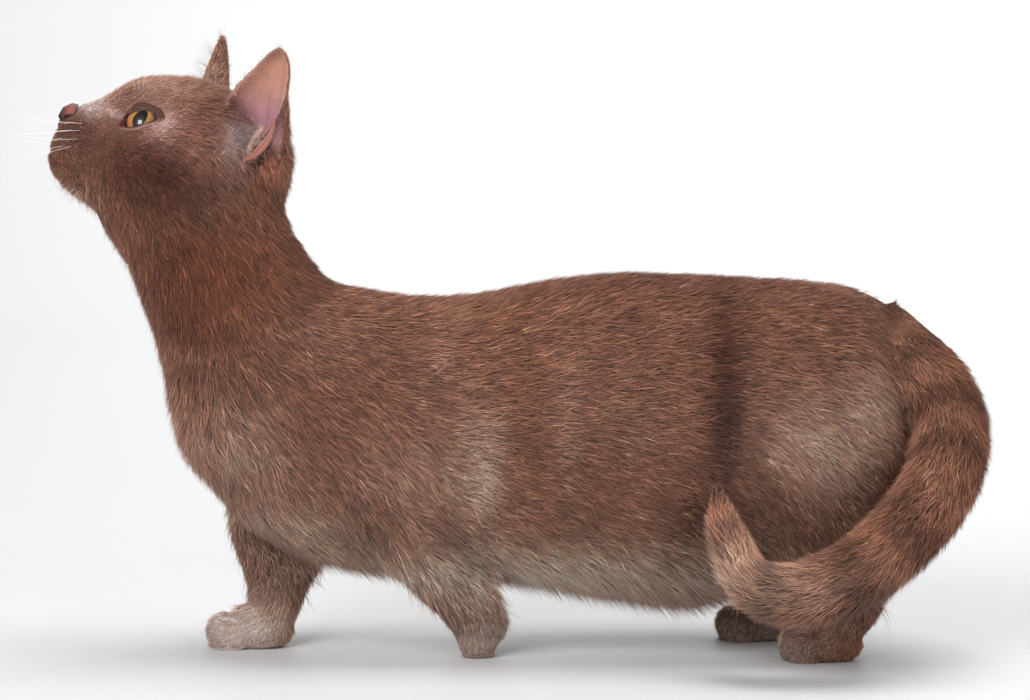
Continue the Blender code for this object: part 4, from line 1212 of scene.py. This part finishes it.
def eyeball(side):
    eye = eyeFrames[side]
    gaze = headWay(eye.out, *irisLook["gaze"])
    lateral = np.cross(headUp, gaze) * eye.out
    lateral /= np.linalg.norm(lateral)
    rise = np.cross(gaze, lateral) * eye.out
    rings, sides = 110, 144
    angles = math.pi * (np.arange(1, rings) / rings) ** 1.35
    turns = math.tau * np.arange(sides) / sides
    grid, around = np.meshgrid(angles, turns, indexing="ij")
    ways = (gaze * np.cos(grid)[..., None] + lateral * (np.sin(grid) * np.cos(around))[..., None]
            + rise * (np.sin(grid) * np.sin(around))[..., None]).reshape(-1, 3)
    grid, around = grid.ravel(), around.ravel()
    bulge = irisLook["bulge"] * (1 - smoothStep(grid, 0.15, 0.85))
    points = eye.middle + ways * (eyeRadius * (1 + bulge))[:, None] * mm
    wide, high = ways @ lateral * eyeRadius, ways @ rise * eyeRadius
    tilt = math.radians(irisLook["pupilTilt"])
    slitWide = wide * math.cos(tilt) - high * math.sin(tilt)
    slitHigh = high * math.cos(tilt) + wide * math.sin(tilt)
    pupil = np.hypot(slitWide / irisLook["pupilWide"], slitHigh / irisLook["pupilHigh"])
    share = np.where(grid > 1.4, 2.0, np.hypot(wide, high) / irisLook["radius"])
    rng = np.random.default_rng(3)
    streak = np.repeat(rng.uniform(0.8, 1.2, sides // 2), 2)
    streak = ((streak + np.roll(streak, 1)) / 2)[np.round(around / math.tau * sides).astype(int) % sides]
    back = smoothStep(wide + 0.6 * -high, -4.0, 5.0)[:, None]
    colour = irisLook["amber"] * (1 - back) + irisLook["olive"] * back
    inner = (1 - smoothStep(pupil, 1.05, 1.7))[:, None] * 0.6
    colour = (colour * (1 - inner) + irisLook["inner"] * inner) * streak[:, None]
    rim = smoothStep(share, 0.80, 0.97)[:, None]
    colour = colour * (1 - rim) + irisLook["edge"] * rim
    outside = smoothStep(share, 1.0, 1.12)[:, None]
    colour = colour * (1 - outside) + irisLook["white"] * outside
    dark = (1 - smoothStep(pupil, 0.94, 1.04))[:, None]
    colour = colour * (1 - dark) + 0.002 * dark
    points = np.concatenate((points, [eye.middle + gaze * eyeRadius * (1 + irisLook["bulge"]) * mm,
                                      eye.middle - gaze * eyeRadius * mm]))
    colour = np.concatenate((colour, [(0.002, 0.002, 0.002), irisLook["white"]]))
    front, behind = len(points) - 2, len(points) - 1
    faces = []
    for j in range(sides):
        k = (j + 1) % sides
        faces.append((front, j, k))
        last = (rings - 2) * sides
        faces.append((behind, last + k, last + j))
        for i in range(rings - 2):
            faces.append((i * sides + j, (i + 1) * sides + j, (i + 1) * sides + k, i * sides + k))
    if eye.out < 0:
        faces = [face[::-1] for face in faces]
    mesh = bpy.data.meshes.new("eyeball")
    mesh.from_pydata(points.tolist(), [], faces)
    mesh.shade_smooth()
    colourLayer(mesh, "eyeColour", colour)
    return mesh


wetEye = grainMaterial("wetEye", "eyeColour", 0.35, 1500.0, 0.35, 0.0, coat=1.0, coatRoughness=0.015)
for side in ("left", "right"):
    addPiece("eyeball_" + side, eyeball(side), wetEye, "eye", "eye_" + side)
print("cat: eyes in")


def lidPiece(side):
    eye = eyeFrames[side]
    sides = 144
    turns = -math.pi + math.tau * np.arange(sides) / sides
    steps = np.concatenate(([0.0, 0.02, 0.05, 0.085], np.linspace(0.13, 1.0, 22)))
    reaches = np.zeros((len(steps), sides))
    offsets = [step * lidReach(turns) for step in steps]
    places = [eye.way(turns, eye.margin(turns) + offset) for offset in offsets]
    for i, ways in enumerate(places):
        for j, way in enumerate(ways):
            hit = skinTree.ray_cast(Vector(eye.middle + way * 6 * mm), Vector(way), 0.014)[0]
            reaches[i, j] = (np.array(hit) - eye.middle) @ way / mm if hit is not None else eyeRadius + 5.5
    for turn in range(6):
        around = (np.roll(reaches, 1, axis=1) + np.roll(reaches, -1, axis=1)) / 2
        reaches = reaches * 0.5 + around * 0.5
    top = []
    for i, step in enumerate(steps):
        radius = lidRadius(turns, offsets[i], reaches[i])
        if i == 0:
            radius = np.full(sides, eyeRadius + 0.1)
        radius = radius - 0.9 * smoothStep(np.array(step), 0.82, 1.0)
        top.append(radius)
    rows, shades = [], []
    for i in range(len(steps)):
        points = eye.middle + places[i] * top[i][:, None] * mm
        rows.append(points)
        shades.append(lidColour(turns, offsets[i], points))
    for i in range(len(steps) - 1, 1, -1):
        radius = np.maximum(top[i] - lidLook["thick"], eyeRadius + 0.08)
        rows.append(eye.middle + places[i] * radius[:, None] * mm)
        shades.append(np.tile(lidTones["edge"], (sides, 1)))
    points = np.concatenate(rows)
    count = len(rows)
    faces = []
    for i in range(count):
        for j in range(sides):
            k, n = (j + 1) % sides, (i + 1) % count
            face = (i * sides + j, n * sides + j, n * sides + k, i * sides + k)
            faces.append(face if eye.out > 0 else face[::-1])
    mesh = bpy.data.meshes.new("lid")
    mesh.from_pydata(points.tolist(), [], faces)
    mesh.shade_smooth()
    colourLayer(mesh, "coatColour", np.concatenate(shades))
    return mesh


# upper is the lid's own dark skin with painted shade over it; fold is the painted light on the lid's fold
# ridges
lidTones = {"edge": tone(40, 22, 17), "upper": tone(56, 33, 24), "fold": tone(112, 80, 66),
            "corner": tone(84, 22, 20), "lower": tone(150, 112, 100)}


def lidColour(turns, offset, points):
    # the upper lid and the outer corner are darkened: dark lid skin partly, painted shade partly; the folds get
    # painted light on their ridges and painted shade in their grooves
    upper = (smoothStep(np.sin(turns), 0.0, 0.55) * (1 - smoothStep(offset, 4.2, 5.4)))[:, None]
    coat = paintCoat(points, np.full(len(points), regionNames.index("head"))) * 0.9
    colour = coat * 0.6 + lidTones["lower"] * 0.4
    foldRidgeLight = (0.5 + 0.5 * np.cos(math.tau * (offset - 0.85) / 1.3))[:, None]
    dark = lidTones["upper"] * (1 - 0.5 * foldRidgeLight) + lidTones["fold"] * 0.5 * foldRidgeLight
    colour = colour * (1 - upper) + dark * upper
    corner = (smoothStep(-np.cos(turns - 0.25), 0.82, 0.96) * (1 - smoothStep(offset, 1.2, 1.8)))[:, None]
    colour = colour * (1 - corner) + lidTones["corner"] * corner
    outer = (smoothStep(np.cos(turns - 0.35), 0.9, 0.99) * (1 - smoothStep(offset, 0.8, 1.8)))[:, None]
    colour = colour * (1 - outer) + lidTones["upper"] * outer
    edge = (1 - smoothStep(offset, 0.25, 0.75))[:, None]
    return colour * (1 - edge) + lidTones["edge"] * edge


lidSkin = grainMaterial("lidSkin", "coatColour", 0.5, 1800.0, 0.35, 0.0001, coat=0.15, coatRoughness=0.2)
for side in ("left", "right"):
    addPiece("lids_" + side, lidPiece(side), lidSkin, "coat")
print("cat: lids round the eyes")


# Nose leather, smoothed from its solid, with its nostrils
nostril = ((51.4, 1.5, -15.6), (51.0, 3.3, -14.2), (49.4, 5.1, -13.2), (46.6, 6.6, -11.6))


def noseMesh():
    work = nodeShell("nose", 0.35 * mm)

    def voxels(holder):
        remesh = holder.modifiers.new("remesh", "REMESH")
        remesh.mode = "VOXEL"
        remesh.voxel_size = 0.28 * mm

    mesh = evaluated(work, voxels)
    points, links = readPoints(mesh), neighbours(mesh)
    points = fair(points, links, 12)
    writePoints(mesh, points)
    normals = readNormals(mesh)
    away = (points - headMiddle) / mm
    forward, up = away @ headForward, away @ headUp
    red = np.exp(-((forward - 48.4) / 2.6) ** 2 - ((up + 9.2) / 3.4) ** 2)[:, None]
    colour = tone(68, 37, 37) * (1 - red) + tone(140, 84, 78) * red
    front = smoothStep(forward, 51.0, 54.0)[:, None]
    colour = colour * (1 - 0.6 * front) + tone(44, 22, 24) * 0.6 * front
    for sign in (1, -1):
        path = smoothPath([headSpot(f, s * sign, u) for f, s, u in nostril], 50)
        gap, which = nearestOn(path, points)
        width = np.interp(which, (0, 20, 49), (1.25, 1.1, 0.55)) * mm
        dip = np.exp(-(gap / width) ** 2)
        points -= normals * (dip * 1.3 * mm)[:, None]
        # inside the nostrils the colour is darkened: painted shade in the openings
        colour = colour * (1 - 0.93 * dip)[:, None]
    split = np.exp(-(((points - headMiddle) @ headLeft) / (0.6 * mm)) ** 2) * (1 - smoothStep(up, -14.0, -9.0))
    points -= normals * (split * 0.5 * mm)[:, None]
    writePoints(mesh, points)
    colourLayer(mesh, "coatColour", colour)
    mesh.shade_smooth()
    return mesh


noseMaterial = grainMaterial("noseSkin", "coatColour", 0.46, 2600.0, 0.45, 0.00016,
                             coat=0.2, coatRoughness=0.25)
addPiece("noseLeather", noseMesh(), noseMaterial, "nose_leather", "nose")
print("cat: nose on")


# The folded lower edge of the near ear, a shallow pocket
pocketLook = {
    "inner": ((-117.2, -33.5, 214.6), (-113.4, -38.0, 218.4), (-109.8, -42.2, 222.2), (-106.2, -45.2, 226.4),
              (-103.0, -47.6, 231.0)),
    "outer": ((-116.2, -33.0, 211.6), (-110.0, -38.5, 214.6), (-105.6, -42.4, 218.6), (-102.6, -45.0, 223.4),
              (-101.2, -47.0, 229.6)),
    # shade is the painted shade inside the pocket's fold
    "bulge": 1.5, "thick": 1.0, "narrow": 0.38, "tone": tone(168, 112, 96), "shade": tone(92, 52, 46),
}


def earPocket(sign):
    inner = smoothPath([bodySpot(x, y * sign, z) for x, y, z in pocketLook["inner"]], 40)
    outer = smoothPath([bodySpot(x, y * sign, z) for x, y, z in pocketLook["outer"]], 40)
    out = np.array((0.15, -sign, 0.0))
    across = np.linspace(0, 1, 13)
    top, under, topTone = [], [], []
    for i, (a, b) in enumerate(zip(inner, outer)):
        end = math.sin(math.pi * (i + 0.6) / (len(inner) + 0.2)) ** 0.45
        a = a + (b - a) * pocketLook["narrow"]
        for side in across:
            spot = a + (b - a) * (0.5 + (side - 0.5) * end)
            arch = 4 * side * (1 - side) * pocketLook["bulge"] * end
            lipUp = (1 - smoothStep(np.array(side), 0.0, 0.3)) * 0.9 * end
            top.append(spot + out * (arch + lipUp + pocketLook["thick"] / 2 * end) * mm)
            under.append(spot + out * (arch + lipUp - pocketLook["thick"] / 2 * end) * mm)
            # a dark stripe where the lip turns up: painted shade in the fold
            dark = math.exp(-((side - 0.32) / 0.16) ** 2) * 0.55
            topTone.append(pocketLook["tone"] * (1 - dark) + pocketLook["shade"] * dark)
    wide, rows = len(across), len(inner)
    points = np.array(top + under)
    shift = len(top)
    faces = []
    for i in range(rows - 1):
        for j in range(wide - 1):
            face = (i * wide + j, i * wide + j + 1, (i + 1) * wide + j + 1, (i + 1) * wide + j)
            faces.append(face)
            faces.append(tuple(k + shift for k in face[::-1]))
        for j, turn in ((0, 1), (wide - 1, -1)):
            face = (i * wide + j, (i + 1) * wide + j, (i + 1) * wide + j + shift, i * wide + j + shift)
            faces.append(face[::turn])
    for i, turn in ((0, -1), (rows - 1, 1)):
        for j in range(wide - 1):
            face = (i * wide + j, i * wide + j + 1, i * wide + j + 1 + shift, i * wide + j + shift)
            faces.append(face[::turn])
    mesh = bpy.data.meshes.new("pocket")
    mesh.from_pydata(points.tolist(), [], faces)
    # the pocket's underside takes the shade tone: painted shade inside the pocket
    colourLayer(mesh, "coatColour", np.array(topTone + [pocketLook["shade"]] * shift))

    def dress(holder):
        holder.modifiers.new("round", "SUBSURF").levels = 2

    mesh = evaluated(mesh, dress)
    work = bmesh.new()
    work.from_mesh(mesh)
    bmesh.ops.recalc_face_normals(work, faces=work.faces)
    work.to_mesh(mesh)
    work.free()
    mesh.shade_smooth()
    return mesh


earSkin = grainMaterial("earSkin", "coatColour", 0.62, 2200.0, 0.35, 0.00012)
addPiece("earPocket_left", earPocket(1), earSkin, "coat")


# Whiskers and brow hairs: strands along paths, made round by Geometry Nodes
strandLook = {"whisker": 0.075, "brow": 0.05, "earHair": 0.06}  # radius at the root in mm


def strandTree():
    tree = bpy.data.node_groups.new("strands", "GeometryNodeTree")
    for name, kind, way in (("Geometry", "NodeSocketGeometry", "INPUT"), ("Sides", "NodeSocketInt", "INPUT"),
                            ("Radius", "NodeSocketFloat", "INPUT"), ("Material", "NodeSocketMaterial", "INPUT"),
                            ("Geometry", "NodeSocketGeometry", "OUTPUT")):
        tree.interface.new_socket(name=name, in_out=way, socket_type=kind)
    nodes, links = tree.nodes, tree.links
    start, end = nodes.new("NodeGroupInput"), nodes.new("NodeGroupOutput")
    line = nodes.new("GeometryNodeMeshToCurve")
    taper = nodes.new("GeometryNodeInputNamedAttribute")
    taper.data_type = "FLOAT"
    taper.inputs["Name"].default_value = "taper"
    scale = nodes.new("ShaderNodeMath")
    scale.operation = "MULTIPLY"
    profile = nodes.new("GeometryNodeCurvePrimitiveCircle")
    profile.inputs["Radius"].default_value = 1.0
    body = nodes.new("GeometryNodeCurveToMesh")
    body.inputs["Fill Caps"].default_value = True
    smooth = nodes.new("GeometryNodeSetShadeSmooth")
    real = nodes.new("GeometryNodeRealizeInstances")
    dressed = nodes.new("GeometryNodeSetMaterial")
    links.new(start.outputs["Geometry"], line.inputs[0])
    links.new(taper.outputs["Attribute"], scale.inputs[0])
    links.new(start.outputs["Radius"], scale.inputs[1])
    links.new(scale.outputs[0], body.inputs["Scale"])
    links.new(start.outputs["Sides"], profile.inputs["Resolution"])
    links.new(line.outputs[0], body.inputs["Curve"])
    links.new(profile.outputs[0], body.inputs["Profile Curve"])
    links.new(body.outputs[0], smooth.inputs[0])
    links.new(smooth.outputs[0], real.inputs[0])
    links.new(real.outputs[0], dressed.inputs["Geometry"])
    links.new(start.outputs["Material"], dressed.inputs["Material"])
    links.new(dressed.outputs[0], end.inputs[0])
    return tree


def strandMesh(strands, radius, material, tree, sides=5):
    points, edges, taper = [], [], []
    for path in strands:
        start = len(points)
        points.extend(path)
        taper.extend(np.linspace(1, 0.12, len(path)) ** 0.8)
        edges.extend((start + i, start + i + 1) for i in range(len(path) - 1))
    lines = bpy.data.meshes.new("lines")
    lines.from_pydata([tuple(map(float, p)) for p in points], edges, [])
    lines.attributes.new("taper", "FLOAT", "POINT").data.foreach_set("value", np.array(taper, np.float32))

    def dress(holder):
        modifier = holder.modifiers.new("strands", "NODES")
        modifier.node_group = tree
        values = {"Sides": sides, "Radius": radius * mm, "Material": material}
        for item in tree.interface.items_tree:
            if item.in_out == "INPUT" and item.name in values:
                modifier[item.identifier] = values[item.name]

    return evaluated(lines, dress)


def strand(root, aim, length, droop, count=14):
    t = np.linspace(0, 1, count)[:, None]
    straight = root - aim * 1.0 * mm + aim * (length * mm) * t
    return straight + np.array((0, 0, -1.0)) * (droop * length * mm) * t * t


def clipForward(path):
    # whiskers end before they reach too far ahead of the nose
    limit = startBox[0][0] - 17 * mm
    inside = path[:, 0] > limit
    return path if inside.all() else smoothPath(path[: max(int(inside.argmin()), 4)], len(path))


rng = np.random.default_rng(8)
whiskers, brows, earHairs = [], [], []
for number, root in enumerate(padSpots()):
    sign = 1 if (root - headMiddle) @ headLeft > 0 else -1
    if (root - headMiddle) @ headForward > 41 * mm and rng.random() < 0.8:
        away = root - headMiddle
        low = (-(away @ headUp) / mm - 12) / 14  # 0 at the top row, 1 at the bottom
        aim = headForward * rng.uniform(0.8, 1.0) + headLeft * sign * rng.uniform(0.28, 0.5)
        aim = aim + headUp * (-0.22 - 0.5 * low + rng.uniform(-0.16, 0.16))
        aim /= np.linalg.norm(aim)
        whiskers.append(clipForward(strand(root, aim, rng.uniform(26, 50), rng.uniform(0.0, 0.12))))
for side, eye in eyeFrames.items():
    for i in range(4):
        root = headSpot(27 - i * 1.9, (10.5 + i * 0.9) * eye.out, 10 + 0.6 * i)
        near = skinTree.find_nearest(Vector(root))[0]
        aim = headForward * (0.6 - 0.22 * i) + headLeft * eye.out * (0.35 + 0.08 * i) + headUp * 0.8
        brows.append(strand(np.array(near), aim / np.linalg.norm(aim), rng.uniform(12, 20), -0.08 + 0.05 * i))
for sign in (1, -1):
    for i in range(5):
        root = headSpot(40 - i * 2.2, (5 + i) * sign, -38.5 - 0.4 * i)
        near = skinTree.find_nearest(Vector(root))[0]
        aim = headForward * 0.35 + headLeft * sign * 0.3 - headUp * 0.85
        whiskers.append(strand(np.array(near), aim / np.linalg.norm(aim), rng.uniform(7, 13), 0.05))
# hairs at the ears' tips and along their front edges
for name, opening in earOpening.items():
    near = name == "ear_left"
    tip = bodySpot(-100.6, -49.5, 259.5) if near else bodySpot(-131.2, 39.5, 264.8)
    for i in range(9):
        aim = np.array((rng.uniform(0.0, 0.7), rng.uniform(-0.3, 0.3), 1.0))
        root = tip + rng.normal(0, 0.5 * mm, 3)
        earHairs.append(strand(root, aim / np.linalg.norm(aim), rng.uniform(3, 6.5), 0.0, 8))
    edge = (((-124, -22, 236), (-118.8, -27, 243.3), (-112, -35, 250), (-105.4, -43, 256.2)) if near else
            ((-139.5, 14, 238), (-138.2, 19, 245), (-136.2, 25, 252), (-133.6, 33, 259.5)))
    for spot in smoothPath([bodySpot(*p) for p in edge], 70 if near else 90):
        aim = np.array((-0.75, rng.uniform(-0.25, 0.25), rng.uniform(0.3, 1.0)))
        aim /= np.linalg.norm(aim)
        size = rng.uniform(2.0, 4.2) if near else rng.uniform(4.0, 9.5)
        earHairs.append(strand(spot + rng.normal(0, 0.8 * mm, 3), aim, size, 0.04, 8))
paleHair = grainMaterial("paleHair", tone(244, 240, 236), 0.4, 900.0, 0.1, 0.00005)
strands = strandTree()
addPiece("whiskers", strandMesh(whiskers, strandLook["whisker"], paleHair, strands), paleHair, "coat")
addPiece("browHairs", strandMesh(brows, strandLook["brow"], paleHair, strands, 4), paleHair, "coat")
fineHair = grainMaterial("fineHair", tone(176, 150, 138), 0.6, 900.0, 0.2, 0.00005)
addPiece("earHairs", strandMesh(earHairs, strandLook["earHair"], fineHair, strands, 3), fineHair, "coat")
print("cat: whiskers", len(whiskers), "brow hairs", len(brows), "ear hairs", len(earHairs))


# Floor, light and camera

def studio():
    floorMesh = bpy.data.meshes.new("floor")
    reach, depth, back = 6.0, 4.0, 1.6
    outline = [(-depth, 0.0)]
    for i in range(25):
        turn = math.pi / 2 * i / 24
        outline.append((back + math.sin(turn) * 0.9, 0.9 - math.cos(turn) * 0.9))
    outline.append((back + 0.9, 4.0))
    points = [(side * reach, y, z) for side in (-1, 1) for y, z in outline]
    count = len(outline)
    faces = [(i, i + count, i + count + 1, i + 1) for i in range(count - 1)]
    floorMesh.from_pydata(points, [], faces)
    floorMesh.shade_smooth()
    floor = bpy.data.objects.new("floor", floorMesh)
    bpy.context.collection.objects.link(floor)
    material = bpy.data.materials.new("paperSweep")
    _, shader = nodesOf(material)
    shader.inputs["Base Color"].default_value = (0.73, 0.735, 0.74, 1)
    shader.inputs["Roughness"].default_value = 0.55
    floorMesh.materials.append(material)


def softLight(name, place, aim, width, height, power, mirrored=False):
    data = bpy.data.lights.new(name, "AREA")
    data.shape = "RECTANGLE"
    data.size, data.size_y = width, height
    data.energy = power
    light = bpy.data.objects.new(name, data)
    light.location = place
    light.rotation_euler = (Vector(aim) - Vector(place)).to_track_quat("-Z", "Y").to_euler()
    light.visible_glossy = mirrored  # only the small ring is mirrored in the eyes
    bpy.context.collection.objects.link(light)


def viewFrom():
    look = {"elevation": 5.0, "distance": 1.6, "aim": (midX - 0.0022, midY, 0.1304), "lens": 130.05}
    tilt = math.radians(look["elevation"])
    camera = bpy.data.cameras.new("camera")
    camera.lens = look["lens"]
    camera.sensor_width = 36.0
    holder = bpy.data.objects.new("camera", camera)
    aim = Vector(look["aim"])
    back = Vector((0, -math.cos(tilt), math.sin(tilt)))
    holder.location = aim + back * look["distance"]
    holder.rotation_euler = (-back).to_track_quat("-Z", "Y").to_euler()
    bpy.context.collection.objects.link(holder)
    bpy.context.scene.camera = holder


studio()
# a ring of small lights ahead of the face, mirrored in the near eye
ringAim = Vector(eyeMiddle["left"])
ringSpot = ringAim + Vector((-1.03, -0.90, 0.27))
ringAcross = (ringAim - ringSpot).cross((0, 0, 1)).normalized()
ringRise = ringAcross.cross(ringAim - ringSpot).normalized()
for number in range(8):
    turn = math.tau * number / 8
    place = ringSpot + (ringAcross * math.cos(turn) + ringRise * math.sin(turn)) * 0.15
    softLight("ring%d" % number, place, ringAim, 0.11, 0.11, 0.8, True)
for row in (  # name, place, aim, width, height, power
        ("key", (-0.75, -1.6, 1.1), (0, 0, 0.11), 1.0, 0.9, 26),
        ("top", (0.35, 0.1, 1.9), (0.15, 0, 0.1), 1.3, 1.1, 25),
        ("fill", (1.2, -1.5, 0.6), (0, 0, 0.1), 1.0, 1.0, 9),
        ("backdrop", (0.7, 1.3, 1.9), (0.9, 2.4, 0.9), 2.0, 0.8, 42)):
    softLight(*row)
world = bpy.data.worlds.new("studioAir")
world.use_nodes = True
world.node_tree.nodes["Background"].inputs[0].default_value = (1, 1, 1, 1)
world.node_tree.nodes["Background"].inputs[1].default_value = 0.20
bpy.context.scene.world = world
bpy.context.scene.view_settings.view_transform = "Standard"
viewFrom()

print("cat: dressed")
